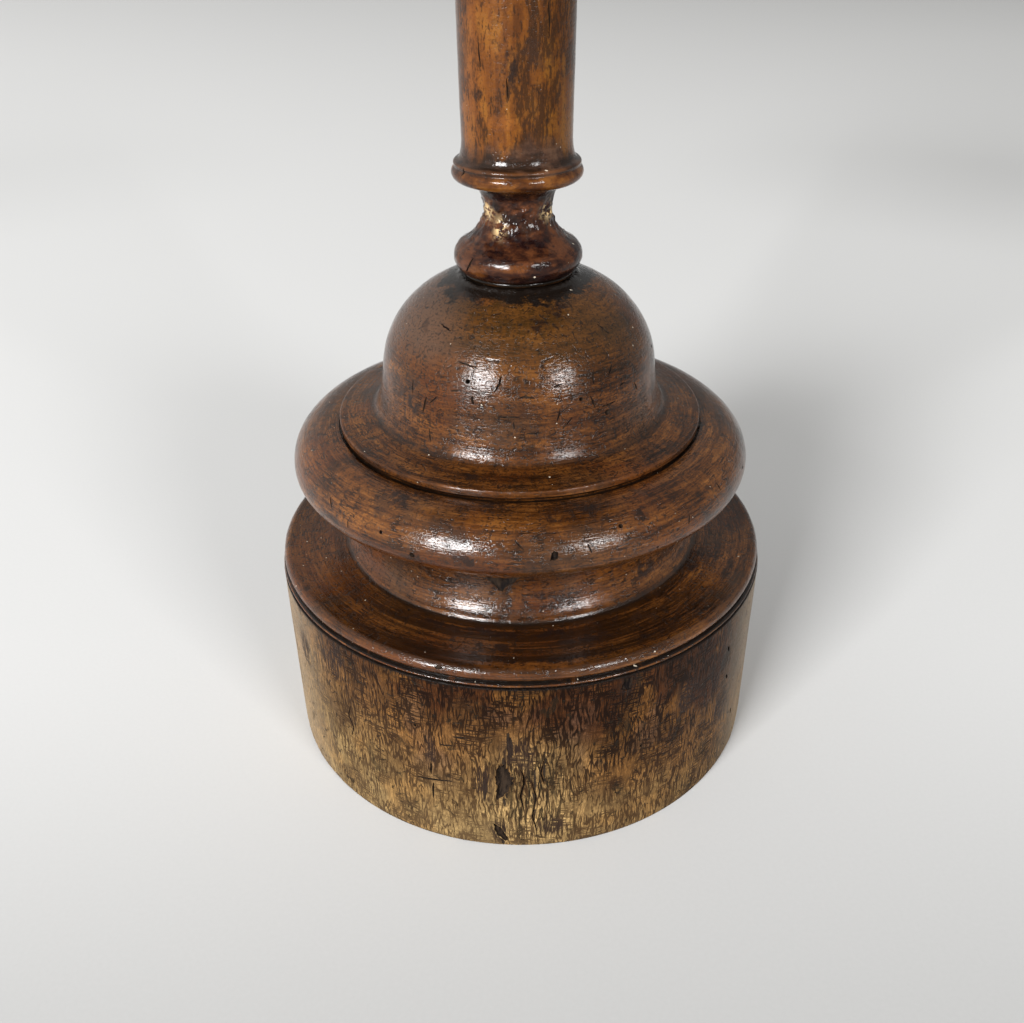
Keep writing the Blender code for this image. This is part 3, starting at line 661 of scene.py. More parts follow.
def column_look():
    """The column: a red-brown knob and neck, an orange collar bead, and a golden shaft with dark flecks,
    painted lighter on its left and darker on its right as painted light and shade.
    """
    n = Nodes("varnished_column")
    ragged = n.plus(n.noise((60, 60, 20), (1, 5, 2), detail=4, rough=0.65), -0.5)
    level = n.plus(n.z, n.times(ragged, 0.034))
    bent = n.swirl((60, 60, 25), 0.005)
    smudges = n.patches((42, 42, 26), (6, 3, 1), 0.43, 0.60, detail=4, rough=0.6)
    threshold = n.step(smudges, 0, 1, 0.58, 0.42)
    flecks = n.noise((900, 900, 210), (1, 1, 1), detail=3, rough=0.65, place=bent)
    flecks = n.step(n.math("SUBTRACT", flecks, threshold), -0.01, 0.08)
    blotches = n.patches((60, 60, 30), (6, 1, 1), detail=5, rough=0.65, place=bent)
    streaks = n.patches((330, 330, 22), (2, 6, 1), 0.34, 0.66, detail=3)
    tone = n.plus(n.times(blotches, 0.6), n.times(streaks, 0.25), n.times(smudges, 0.15))
    golden = n.ramp(tone, (0.05, (0.170, 0.068, 0.010)), (0.45, (0.112, 0.036, 0.004)),
                    (0.72, (0.070, 0.021, 0.003)), (0.95, (0.032, 0.010, 0.002)))
    # Painted light and shade: the shaft is lighter on its left and darker on its right.
    golden = n.paint(golden, n.step(n.x, -0.006, -0.026), (0.135, 0.042, 0.008), 0.7)
    golden = n.mix(n.step(n.x, 0.002, 0.022), golden, (0.76, 0.70, 0.44), "MULTIPLY")
    golden = n.paint(golden, smudges, (0.040, 0.016, 0.004), 0.36)
    golden = n.paint(golden, flecks, (0.018, 0.007, 0.002), 0.75)
    ring = n.attribute("ring", "Vector")
    turned_lines = n.patches((4, 4, 420), detail=3, place=ring)
    mottle = n.patches((62, 62, 80), (2, 2, 5), 0.34, 0.66, detail=5, rough=0.65)
    tone = n.plus(n.times(turned_lines, 0.3), n.times(mottle, 0.7))
    red = n.ramp(tone, (0.15, (0.006, 0.002, 0.002)), (0.5, (0.024, 0.008, 0.004)),
                 (0.85, (0.066, 0.022, 0.008)))
    purple = n.ramp(tone, (0.15, (0.014, 0.007, 0.004)), (0.5, (0.036, 0.017, 0.010)),
                    (0.85, (0.060, 0.031, 0.018)))
    orange = n.ramp(tone, (0.15, (0.024, 0.008, 0.003)), (0.5, (0.064, 0.021, 0.005)),
                    (0.85, (0.13, 0.048, 0.010)))
    colour = n.mix(n.step(n.z, COLLAR_FOOT - 0.0006, COLLAR_FOOT + 0.0006), red, orange)
    colour = n.mix(n.step(n.z, COLLAR_MIDDLE - 0.0008, COLLAR_MIDDLE + 0.0008), colour, purple)
    colour = n.mix(n.step(level, SHAFT_FOOT[0] - 0.002, SHAFT_FOOT[1] + 0.002), colour, golden)
    colour = n.mix(n.step(level, SHAFT_HEAD, SHAFT_HEAD + 0.004), colour, purple)
    colour = n.mix(n.step(n.z, UPPER_COLLAR, UPPER_COLLAR + 0.004), colour, red)
    colour = n.mix(n.step(n.z, DIRT_TOP + 0.0008, DIRT_TOP - 0.0004), colour, (0.004, 0.003, 0.002))
    chips = n.times(n.attribute("repair"),
                    n.patches((230, 230, 300), (3, 3, 1), 0.49, 0.54, detail=5, rough=0.7))
    colour = n.mix(chips, colour, (0.50, 0.35, 0.175))
    return old_varnish(n, colour, turned_lines, gloss=0.07, scratches=0.3, shine=0.20)


def worn_drum_look():
    """Faded wood, all over in a maze of short strokes: tan below, red-brown near the upper edge, painted
    darker on the right as painted shade, with a painted pale sheen at both sides.
    """
    n = Nodes("worn_drum")
    bent = n.swirl((55, 55, 40), 0.0045)
    bent = n.swirl(210, 0.0010, bent, (3, 1, 2))
    clouds = n.plus(n.noise((23, 23, 19), (5, 1, 9), detail=4, rough=0.6, warp=0.6), -0.5)
    # Painted shade: the right side is pushed darker along the colour ramp.
    side = n.step(n.x, -0.13, 0.10, -0.20, 0.27)
    rise = n.plus(n.times(n.z, 1 / 0.112), n.times(clouds, 0.75), side)
    ground = n.ramp(rise, (0.0, (0.255, 0.168, 0.070)), (0.3, (0.200, 0.120, 0.046)),
                    (0.6, (0.180, 0.086, 0.027)), (0.9, (0.054, 0.018, 0.005)))
    dark = n.ramp(rise, (0.0, (0.050, 0.029, 0.013)), (0.3, (0.033, 0.017, 0.007)),
                  (0.6, (0.016, 0.007, 0.003)), (0.9, (0.005, 0.002, 0.001)))
    orange = n.patches((26, 26, 22), (8, 8, 2), 0.50, 0.62, detail=3)
    ground = n.paint(ground, orange, (0.25, 0.115, 0.028), 0.36)
    purple = n.times(n.patches((32, 32, 20), (2, 4, 8), 0.50, 0.62, detail=3), n.step(n.z, 0.03, 0.065),
                     n.step(n.z, 0.108, 0.085))
    ground = n.paint(ground, purple, (0.100, 0.056, 0.038), 0.5)
    # Painted sheen with fading: both sides of the drum, seen at a grazing angle, are painted pale.
    faded = n.most(n.step(n.x, -0.100, -0.138), n.step(n.x, 0.105, 0.138))
    torn = n.attribute("torn")
    ground = n.paint(ground, torn, (0.43, 0.28, 0.115), 0.75)
    upright = n.contours((520, 520, 66), 0.100, (5, 5, 2), detail=1.0, place=bent)
    level = n.contours((72, 72, 520), 0.090, (1, 5, 2), detail=1.0, place=bent)
    hairs = n.contours((950, 950, 170), 0.13, (2, 5, 5), detail=1, place=bent)
    crossed = n.patches(60, (8, 2, 2), 0.40, 0.56, detail=2)
    strokes = n.most(upright, n.times(level, crossed))
    strokes = n.most(strokes, n.times(hairs, 0.5))
    strokes = n.times(strokes, n.patches((90, 90, 60), (7, 7, 3), 0.30, 0.50, detail=3, to=(0.5, 1.0)))
    patches = n.patches((52, 52, 40), (3, 6, 6), 0.42, 0.62, detail=4, rough=0.6)
    ground = n.paint(ground, patches, dark, 0.45)
    colour = n.paint(ground, strokes, dark, 0.96)
    colour = n.paint(colour, faded, (0.38, 0.29, 0.19), 0.5)
    fibres = n.noise((1500, 1500, 380), (9, 5, 2), detail=2, rough=0.6, place=bent)
    colour = n.mix(n.step(fibres, 0.46, 0.60, 0.0, 0.30), colour, dark)
    shreds = n.noise((620, 620, 75), (4, 2, 7), detail=3, rough=0.6, place=bent)
    gouge = n.step(n.plus(n.attribute("gouge"), n.times(n.plus(shreds, -0.5), 2.2)), 0.46, 0.56)
    slate = n.ramp(shreds, (0.38, (0.003, 0.002, 0.002)), (0.62, (0.022, 0.015, 0.010)))
    folds = n.contours((300, 300, 36), 0.055, (1, 3, 1), detail=2, place=bent)
    blots = n.patches((75, 75, 48), (2, 7, 4), 0.61, 0.67, detail=4, rough=0.65)
    black = n.most(n.times(blots, 0.6), n.times(folds, torn, 0.95))
    black = n.most(black, n.times(scratch_lines(n, 110, 0.030, (2, 2, 8), 0.58), 0.7))
    colour = n.mix(black, colour, (0.010, 0.007, 0.004))
    colour = n.mix(gouge, colour, slate)
    spots = n.step(n.times(n.attribute("stain"), n.step(strokes, 0.0, 1.0, 0.6, 1.5)), 0.1, 1.3)
    colour = n.paint(colour, spots, (0.016, 0.009, 0.007), 0.8)
    # Dirt and painted shade: the top edge under the moulding is painted near black.
    colour = n.mix(n.attribute("hollow"), colour, BLACK_DIRT_AND_SHADE)
    roughness = n.step(rise, 0.9, 0.2, 0.36, 0.6)
    normal = n.bump(n.times(strokes, -1.0), 0.26, 1.0)
    normal = n.bump(n.noise(110, (4, 4, 2), detail=3), 0.5, 0.6, normal)
    normal = n.bump(n.times(n.most(black, n.times(gouge, 1.5)), -1.0), 0.4, 0.9, normal)
    return n.finish(colour, roughness, normal, Specular_IOR_Level=0.05)


def broken_wood_look():
    """The dark, dirty inside of a hole, a crack or a chip."""
    n = Nodes("dark_broken_wood")
    fibres = n.noise((600, 600, 120), detail=3)
    colour = n.ramp(fibres, (0.35, (0.003, 0.002, 0.002)), (0.65, (0.022, 0.014, 0.009)))
    return n.finish(colour, 0.7, n.bump(fibres, 0.4, 0.9), Specular_IOR_Level=0.05)


# ---------------- the drum, mouldings, dome and column

BORE = 15.3  # mm, of the stacked turnings
DRUM_RADIUS = 140  # mm
TORN_ANGLE = -88  # degrees, of the drum's damaged stretch
TORN_HEIGHT = 40  # mm


def drum(broken):
    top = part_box("drum")[1][2] / MM
    outline = [(BORE, 0), (136, 0), (138.4, 0.3)]
    outline += arc(138.0, 2.0, 2.0, 2.0, -80, 0, 4)
    outline += [(DRUM_RADIUS, 111)]
    outline += arc(DRUM_RADIUS - 0.8, top - 0.8, 0.8, 0.8, 0, 90, 3)
    outline += [(BORE, top)]
    t = Turning(outline, spacing=1.5, segments=700)
    cos, sin, r, z = t.grid()
    outer = (t.r > 134)[:, None] * 1.0
    foot_wear = np.clip(1 - z / 12, 0, 1) ** 2
    # A damaged stretch at the front, with its grain torn into upright folds.
    angle = np.degrees(np.arctan2(sin, cos))
    torn_place = np.exp(-((angle - TORN_ANGLE) / 9.5) ** 2 - ((z - TORN_HEIGHT) / 34) ** 4)
    folds = rough(cos * r / 5.2 + t.uneven(0.8, 14, 14, 17), sin * r / 8, z / 34, 15)
    t.relief = outer * (t.uneven(0.22, 38, 60, 3) + t.uneven(0.07, 3.5, 22, 9)
                        - foot_wear * (0.5 + t.uneven(0.5, 16, 9, 5))
                        - 0.9 * torn_place * np.clip(0.25 - folds, 0, 1))
    t.relief[t.z < 0.5] = 0
    # Dirt and painted shade along the top edge, under the moulding.
    t.mask("hollow", np.clip((z - (top - 1.4)) / 1.0, 0, 1) * (r > 130))
    t.mask("torn", torn_place * outer)
    gouges = ((-94.3, 50, 2.2, 15), (-98.6, 43, 1.2, 8), (-93.2, 73, 1.7, 9), (-95.0, 10, 1.8, 8),
              (-88.0, 40, 0.8, 22), (-86.0, 58, 0.7, 12), (-68.6, 106, 1.6, 6))
    stains = ((-98.5, 47, 5, 12), (-93, 70, 6, 9), (-96, 12, 6, 8), (-68.5, 107, 5, 6),
              (-110.5, 62, 3, 11), (-136, 98, 9, 12), (-90, 66, 5, 12), (-84, 15, 8, 6),
              (-150, 84, 6, 12), (-52, 78, 10, 12), (-38, 50, 8, 12))
    for name, spots in (("gouge", gouges), ("stain", stains)):
        t.stain(name, *((angle, DRUM_RADIUS, *rest) for angle, *rest in spots))
    marks = Marks(t, broken)
    marks.chip([(-96.5, 36), (-93.5, 40), (-92.3, 50), (-93.2, 57), (-95.2, 62), (-96.3, 54), (-96.0, 46)],
               2.2)
    marks.chip([(-97.0, 17), (-95.4, 15), (-93.4, 5), (-94.4, 4), (-96.4, 9)], 2.0)
    marks.chip([(-69.8, 104), (-67.6, 103), (-67.2, 110), (-69.2, 110.5)], 1.0)
    cracks = ((1.3, 1.6, 16, (-90.8, 58), (-90.0, 48), (-91.0, 38), (-90.2, 27)),
              (1.1, 1.2, 16, (-88.6, 50), (-87.6, 38), (-88.4, 24), (-87.4, 12)),
              (1.0, 1.0, 10, (-86.0, 64), (-86.6, 55), (-85.8, 47)),
              (1.5, 1.1, 10, (-113.9, 42), (-109.9, 43.5), (-105.8, 45)),
              (1.2, 1.0, 10, (-110.4, 56), (-110.6, 46.5)),
              (1.2, 1.0, 10, (-110.2, 41), (-110.5, 29)),
              (1.4, 1.0, 10, (-105.0, 77), (-102.0, 77.6)),
              (1.2, 0.9, 10, (-108.0, 70), (-105.4, 70.6)),
              (1.1, 0.9, 14, (-131.7, 71), (-132.6, 63), (-131.4, 56), (-132.3, 49)))
    for width, depth, steps, *path in cracks:
        marks.groove(path, width, depth, steps=steps)
    for angle, height in ((-37.1, 90), (-36.3, 69), (-30.0, 32)):
        marks.groove([(angle, height + 1.9), (angle + 0.5, height - 1.9)], 1.9, 2.4)
    for angle, height in ((-113.6, 79), (-64.0, 60), (20, 74), (66, 38), (118, 88), (171, 52)):
        marks.pit(angle, height, 1.7, 2.5)
    for angle, height, length in ((-8, 44, 17), (35, 66, 24), (92, 30, 20), (140, 70, 28), (-160, 58, 22)):
        path = [(angle, height), (angle + 0.7, height - length / 2), (angle, height - length)]
        marks.groove(path, 1.1, 1.1, steps=14)
    add_turned("drum", t, marks, worn_drum_look(), "worn_wood")


def plinth_moulding(look, broken):
    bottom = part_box("plinth_moulding")[0][2] / MM
    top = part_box("plinth_moulding")[1][2] / MM
    outline = [(BORE, bottom), (137.6, bottom), (138.9, bottom + 0.4)]
    outline += arc(138.8, 113.4, 0.8, 0.7, -60, 70, 5)
    outline += [(137.0, 114.5)]
    outline += arc(134.9, 118.3, 3.8, 3.8, -55, 90, 14)
    outline += curve(outline[-1], (124, 121.2), (112, 121.4), (101.8, 122.4), 8)
    outline += [(101.2, 122.9), (100.9, 124.0)]
    outline += curve(outline[-1], (93.5, 128), (91.5, 148), (98.5, 156.5), 16)
    outline += curve(outline[-1], (100.5, 158.8), (104.5, 160.4), (108.4, 161.2), 5)
    outline += arc(104, 175.25, 22.4, 14.4, -78, 0, 16)
    outline += arc(104, 175.25, 22.4, 19.1, 4, 90, 20)
    outline += [(100.2, 194.4), (99.8, 193.9), (97.0, 193.9), (96.0, top), (BORE, top)]
    t = Turning(outline, spacing=1.35, segments=640)
    r, z = t.grid()[2:]
    outer = ((t.r > 90) & (t.z > bottom + 0.2) & (t.z < top - 0.1))[:, None] * 1.0
    t.relief = outer * (t.uneven(0.30, 60, 40, 13) + t.ripples(0.05, 6, 2.2, 21) + t.uneven(0.06, 9, 9, 31))
    t.crease_masks()
    # Dirt and painted shade in the quirk under the dome, the groove by the bottom bead and the joint at the
    # foot.
    t.mask("hollow", np.clip(1.5 - np.abs(r - 98.9), 0, 1) * (z > 193.0))
    t.mask("hollow", (np.abs(z - 114.6) < 0.7) * (r > 136) * 1.0)
    t.mask("hollow", (z < bottom + 0.5) * (r > 137) * 1.0)
    t.masks["edge"] = t.masks["edge"] * (z > 116)
    # Dark spots: stains, and painted shade in wide bands across the ledge's front and on the cavetto's front
    # under the torus.
    t.stain("stain", (-95.5, 123, 121.3, 5, 9), (-100.6, 123, 121.3, 3, 7), (-131.8, 116, 121.4, 4, 6),
            (-107, 115.5, 121.4, 3, 6), (-28, 106, 122, 9, 5), (-21, 112, 121.6, 7, 5),
            (-28, 125, 121.2, 6, 4), (-74, 117, 121.4, 16, 4), (-60, 128, 121, 14, 3),
            (-46, 92, 133.5, 9, 6), (-96, 94, 141, 8, 7), (-84, 92, 131, 22, 6), (-95, 108, 122, 60, 4),
            (-85, 131, 121.2, 40, 2.5), (-122, 110, 193.5, 7, 6), (-95.5, 103, 194.2, 11, 4),
            (-83, 112, 193, 7, 4), (-74, 110, 193.4, 6, 5), (-117, 104, 194, 8, 4), (-60, 118, 189, 7, 4),
            (-102, 125, 176, 10, 3))
    # Painted warm highlights on the cavetto, torus, rim and flange, where the lights are reflected.
    t.stain("glow", (-65.5, 97.5, 127.6, 12, 4), (-141, 110, 193, 14, 6),
            (-106, 118, 166, 16, 4), (-70, 118, 166, 18, 4), (-88, 134, 121, 30, 3))
    marks = Marks(t, broken)
    marks.pits((-122.9, 182, 1.9, 1.4), (-114.6, 175, 2.6, 2.6), (-67.5, 188.5, 2.2, 1.6),
               (-58.9, 173, 1.5, 1.8), (-20, 180, 1.8, 2), (48, 184, 2.0, 2.4), (61, 172, 1.5, 2),
               (127, 188, 1.8, 2), (-171, 178, 1.9, 2))
    marks.chip([(-84.2, 178), (-82.6, 178.5), (-82.4, 182), (-83.8, 182.5)], 1.6)
    marks.chip([(-101.3, 146), (-96.2, 137), (-90.7, 147)], 1.7, radius=94)
    marks.groove([(-124.7, 121.9), (-124.0, 121.5)], 1.4, 0.9, radius=106)
    marks.groove([(-108.4, 119.4), (-106.8, 120.0)], 2.0, 1.0, radius=138)
    for angle, height, turned_by in ((-141, 186, 1.6), (-133, 181, 0.4), (-92, 188, 2.2), (-76, 184, 0.8),
                                     (-49, 183, -0.9), (-36, 188, 0.5), (5, 176, 1.5), (80, 187, -1.2),
                                     (101, 178, 1.8), (150, 183, -0.6)):
        marks.groove([(angle, height), (angle + turned_by, height - 4.5)], 0.9, 0.6)
    add_turned("plinth_moulding", t, marks, look, "polished_wood")


def dome(broken):
    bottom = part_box("dome")[0][2] / MM
    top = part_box("dome")[1][2] / MM
    outline = [(BORE, bottom), (97.0, bottom), (98.6, bottom + 0.5)]
    outline += arc(98.3, bottom + 1.7, 1.0, 1.0, -40, 0, 2)
    outline += arc(98.3, 198.9, 1.0, 0.9, 0, 80, 4)
    outline += curve(outline[-1], (92, 200.6), (85, 201.4), (80.6, 202.6), 6)
    outline += curve(outline[-1], (77.2, 204.2), (75.4, 212), (73.6, 224), 14)
    outline += curve(outline[-1], (72.6, 249.8), (53, 270.4), (27, top), 44)
    outline += [(BORE, top)]
    t = Turning(outline, spacing=1.25, segments=520)
    r, z = t.grid()[2:]
    outer = ((t.r > 29) & (t.z > bottom + 0.2))[:, None] * 1.0
    dirt_ring = np.exp(-((r - 30.0) / 1.5) ** 2) * (z > 260)
    t.relief = outer * (t.uneven(0.25, 45, 30, 43) + t.ripples(0.04, 4, 2.4, 51) + t.uneven(0.08, 10, 8, 61)
                        + dirt_ring * (1.0 + t.uneven(1.0, 4, 4, 65)))
    t.crease_masks()
    t.mask("hollow", (z < bottom + 1.6) * (r > 95) * 1.0)
    t.stain("stain", (-117, 40, 268, 6, 3), (-127, 38, 269, 5, 3), (-66, 44, 266, 9, 5),
            (-79.5, 50, 262, 6, 5), (-96.6, 95, 199.5, 7, 2), (-72.7, 98, 199, 8, 2),
            (-106, 90, 200.8, 5, 3), (-84, 72, 244, 5, 5), (-137, 74, 222, 5, 7), (-58, 75, 218, 5, 4))
    # Painted warm light on the flare and beside the column's foot.
    t.stain("glow", (-115, 38, 269, 5, 3), (-100, 80, 203, 18, 4))
    marks = Marks(t, broken)
    marks.pits((-111.3, 242, 2.4, 3), (-66.1, 232.4, 2.0, 2.2), (-54.4, 222, 2.6, 1.0),
               (-106.3, 243.5, 1.0, 1.4), (-12, 238, 1.8, 2), (74, 246, 2.0, 2.4), (103, 226, 1.6, 2),
               (160, 240, 2.0, 2))
    marks.groove([(-97.8, 245.5), (-98.4, 242), (-100.3, 238.3)], 1.3, 1.2, steps=14)
    marks.groove([(-91, 235.6), (-88, 236.6), (-84.6, 235.4)], 1.2, 0.7, steps=12)
    marks.groove([(-108.9, 235.5), (-108.5, 231.5)], 1.4, 0.9)
    marks.groove([(-129.8, 230), (-130.4, 225.5), (-131.3, 221)], 1.1, 0.8)
    marks.groove([(-46.9, 261.5), (-43.2, 256.5)], 1.2, 0.8)
    scratches = ((-138, 236, 0.5, -8), (-134, 262, 8, -1), (-124, 232, -4, -5), (-118, 236, 3, 1),
                 (-117, 250, 9, -2), (-100, 226, 10, 0.5), (-93, 224, 0.5, -4), (-75, 229, -1, -6),
                 (-70, 224, -4, -5), (-62, 233, 2, -7), (-57, 226, 7, 0), (-52, 240, 3, 4), (-47, 233, 3, 1),
                 (-60, 238, 1, 6), (-127, 214, 1, -6), (-88, 218, 6, 0), (-77, 240, 4, 1), (-36, 226, -2, 5),
                 (10, 250, 6, 2), (38, 230, 1, -7), (95, 238, -5, -4), (131, 256, 7, 1), (176, 224, 1, -6))
    for angle, height, run, rise in scratches:
        marks.groove([(angle, height), (angle + run, height + rise)], 0.95, 0.5)
    for angle, radius in ((-97.6, 94), (-72.8, 97)):
        edge = [(angle - 1.5, 200.4), (angle - 1.2, 199.4), (angle + 1.3, 199.2), (angle + 1.5, 200.4)]
        marks.chip(edge, 0.8, radius=radius)
    add_turned("dome", t, marks, dome_look(top * MM), "polished_wood")


def column_outline(foot, head, shoulder, block_bottom):
    """Foot tenon, squat knob, waisted neck, two-tier collar, shaft, and the head that repeats them."""
    outline = [(0, foot), (13.8, foot), (15, foot + 1.4), (15, shoulder), (27.6, shoulder)]
    outline += arc(27.4, shoulder + 1.4, 1.3, 1.3, -60, 60, 5)
    outline += arc(24.3, 284.1, 8.7, 8.4, -58, 50, 24)
    outline += curve(outline[-1], (22.2, 294.2), (17.1, 301.6), (17.1, 306.6), 10)
    outline += curve(outline[-1], (17.1, 311.0), (17.9, 317.0), (22.6, 320.4), 10)
    outline += arc(27.6, 325.8, 5.2, 4.3, -127, 44, 20)
    outline += arc(28.4, 330.4, 3.3, 1.9, -30, 70, 8)
    outline += curve(outline[-1], (28.2, 332.9), (27.5, 336), (27.2, 341), 6)
    outline += curve(outline[-1], (27.6, 385), (28.6, 450), (27.2, 500), 20)
    outline += curve(outline[-1], (26.2, 545), (24.4, 575), (24.2, 600), 14)
    outline += arc(25.6, 607, 4.6, 4.2, -70, 75, 12)
    outline += curve(outline[-1], (19, 613), (17.4, 619), (17.4, 625), 8)
    outline += curve(outline[-1], (17.4, 631), (20, 636), (27, 639), 8)
    outline += arc(25.5, 647.5, 9, 8.8, -60, 62, 14)
    outline += [(29, 656.4), (29.6, 657.2), (30, 659), (33, 659.6), (37, 661)]
    outline += arc(36.6, 663.2, 1.9, 2.2, -60, 0, 4)
    outline += [(38.5, 671)]
    outline += curve(outline[-1], (38.5, 673.5), (37.6, block_bottom), (36.2, block_bottom), 4)
    outline += [(16, block_bottom), (16, head - 0.8), (15.2, head), (0, head)]
    return outline


def column(broken):
    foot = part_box("column")[0][2] / MM
    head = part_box("column")[1][2] / MM
    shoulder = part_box("dome")[1][2] / MM + 0.4
    block_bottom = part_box("pivot_block")[0][2] / MM - 0.3
    t = Turning(column_outline(foot, head, shoulder, block_bottom), spacing=1.25, segments=220)
    cos, sin, _, z = t.grid()
    outer = ((t.r > 16.5) & (t.z > shoulder + 0.2) & (t.z < block_bottom - 0.2))[:, None] * 1.0
    knob = np.exp(-((z - 283) / 8) ** 2)
    repair = np.exp(-((z - 307) / 8.0) ** 2) + 0.35 * np.exp(-((z - 297) / 6.0) ** 2)
    t.relief = outer * (t.uneven(0.16, 26, 45, 73) + t.uneven(0.06, 7, 7, 81)
                        + repair * (t.uneven(1.4, 6, 4.5, 91) + t.uneven(1.0, 2.4, 2, 95))
                        + knob * t.uneven(0.5, 9, 5, 97))
    t.crease_masks(2.5, 2.0)
    t.masks["hollow"] = t.masks["hollow"] * (1 - 0.75 * (np.abs(z - 329) < 4))
    angle = np.degrees(np.arctan2(sin, cos))
    chips = sum(np.exp(-((angle - a) / w) ** 2 - ((z - h) / 3.6) ** 2)
                for a, h, w in ((-152, 308, 15), (-33, 308, 13), (-119, 302, 8), (70, 307, 26)))
    t.mask("repair", np.clip(chips * 1.3, 0, 1))
    t.stain("stain", (-109, 27, 383, 3, 6), (-98.5, 27, 375, 5, 9), (-71, 27, 368, 4, 3),
            (-62.5, 27, 353.5, 3, 3), (-131, 27, 364, 3, 3), (-86, 31, 281, 9, 2), (-70, 33, 288, 5, 3),
            (-95, 17, 306, 10, 3), (-130, 17, 311, 4, 3), (-50, 17, 305, 4, 3))
    # Painted warm highlights on the shaft and the knob.
    t.stain("glow", (-107, 27, 352, 7, 4), (-140, 27, 378, 6, 12), (-95, 33, 286, 8, 2),
            (-130, 32, 283, 6, 3))
    marks = Marks(t, broken)
    marks.groove([(-134.8, 289), (-138, 285), (-143.1, 281)], 1.1, 1.0, steps=14)
    marks.groove([(-144.7, 331), (-145.6, 327.5)], 1.2, 1.0)
    for angle, height, length in ((-100, 372, 9), (-60, 402, 14), (-128, 386, 10), (10, 420, 18),
                                  (95, 460, 22), (150, 380, 12), (-40, 520, 16), (175, 560, 14)):
        marks.groove([(angle, height), (angle + 1.5, height - length)], 0.8, 0.6)
    mesh = t.mesh("column")
    mesh.materials.append(column_look())
    mesh = marks.cut(mesh)
    for end, up in ((head, 1), (foot, -1)):
        half, point = (2.1, 2.1 * 0.55)
        slot = [(-half, end + up * 4), (-half, end), (-point, end - up * 18.3), (point, end - up * 18.3),
                (half, end), (half, end + up * 4)]
        mesh = carved(mesh, side_solid(slot, -19, 19).to_mesh("wedge_slot", broken))
    t.complete_rings(mesh)
    add_piece("column", mesh, "root", "polished_wood")


# ---------------- solids with flat sides

class Block:
    """A flat-sided solid in the making."""

    def __init__(self):
        self.shape = bmesh.new()

    def ease(self, width, segments=2, least_angle=25, keep=None):
        """Rounds the edges that are sharper than an angle."""
        self.shape.normal_update()
        edges = [e for e in self.shape.edges if e.calc_face_angle(0) > math.radians(least_angle)
                 and (keep is None or keep(e))]
        bmesh.ops.bevel(self.shape, geom=edges, offset=width * MM, segments=segments, profile=0.5,
                        affect="EDGES", clamp_overlap=True)
        return self

    def slice_up(self, spacing):
        """Cuts the solid into a grid, so that its faces can be uneven."""
        for axis in range(3):
            ends = [v.co[axis] / MM for v in self.shape.verts]
            steps = int((max(ends) - min(ends)) / spacing)
            for i in range(1, steps):
                middle = [0.0, 0.0, 0.0]
                normal = [0.0, 0.0, 0.0]
                middle[axis] = (min(ends) + (max(ends) - min(ends)) * i / steps) * MM
                normal[axis] = 1.0
                everything = self.shape.verts[:] + self.shape.edges[:] + self.shape.faces[:]
                bmesh.ops.bisect_plane(self.shape, geom=everything, plane_co=middle, plane_no=normal)
        return self

    def weather(self, amount, size, seed):
        """Moves the surface in and out a little, in mm, with unevenness of a size along X, Y and Z."""
        self.shape.normal_update()
        places = np.array([v.co for v in self.shape.verts]) / MM
        moves = amount * rough(*(places / np.array(size)).T, seed)
        for vert, move in zip(self.shape.verts, moves):
            vert.co += vert.normal * float(move) * MM
        return self

    def to_mesh(self, name, look=None):
        mesh = bpy.data.meshes.new(name)
        bmesh.ops.recalc_face_normals(self.shape, faces=self.shape.faces)
        self.shape.to_mesh(mesh)
        self.shape.free()
        if look:
            mesh.materials.append(look)
        return mesh


def box_solid(low, high):
    """A box between two corners, in mm."""
    (x0, y0, z0), (x1, y1, z1) = (low, high)
    return side_solid([(y0, z0), (y1, z0), (y1, z1), (y0, z1)], x0, x1)


def side_solid(outline, low_x, high_x):
    """A side outline of (y, z) points, carried along X. All in mm."""
    made = Block()
    face = made.shape.faces.new([made.shape.verts.new((low_x * MM, y * MM, z * MM)) for y, z in outline])
    pushed = bmesh.ops.extrude_face_region(made.shape, geom=[face])
    moved = [v for v in pushed["geom"] if isinstance(v, bmesh.types.BMVert)]
    bmesh.ops.translate(made.shape, vec=((high_x - low_x) * MM, 0, 0), verts=moved)
    bmesh.ops.recalc_face_normals(made.shape, faces=made.shape.faces)
    return made


# ---------------- looks of the upper half

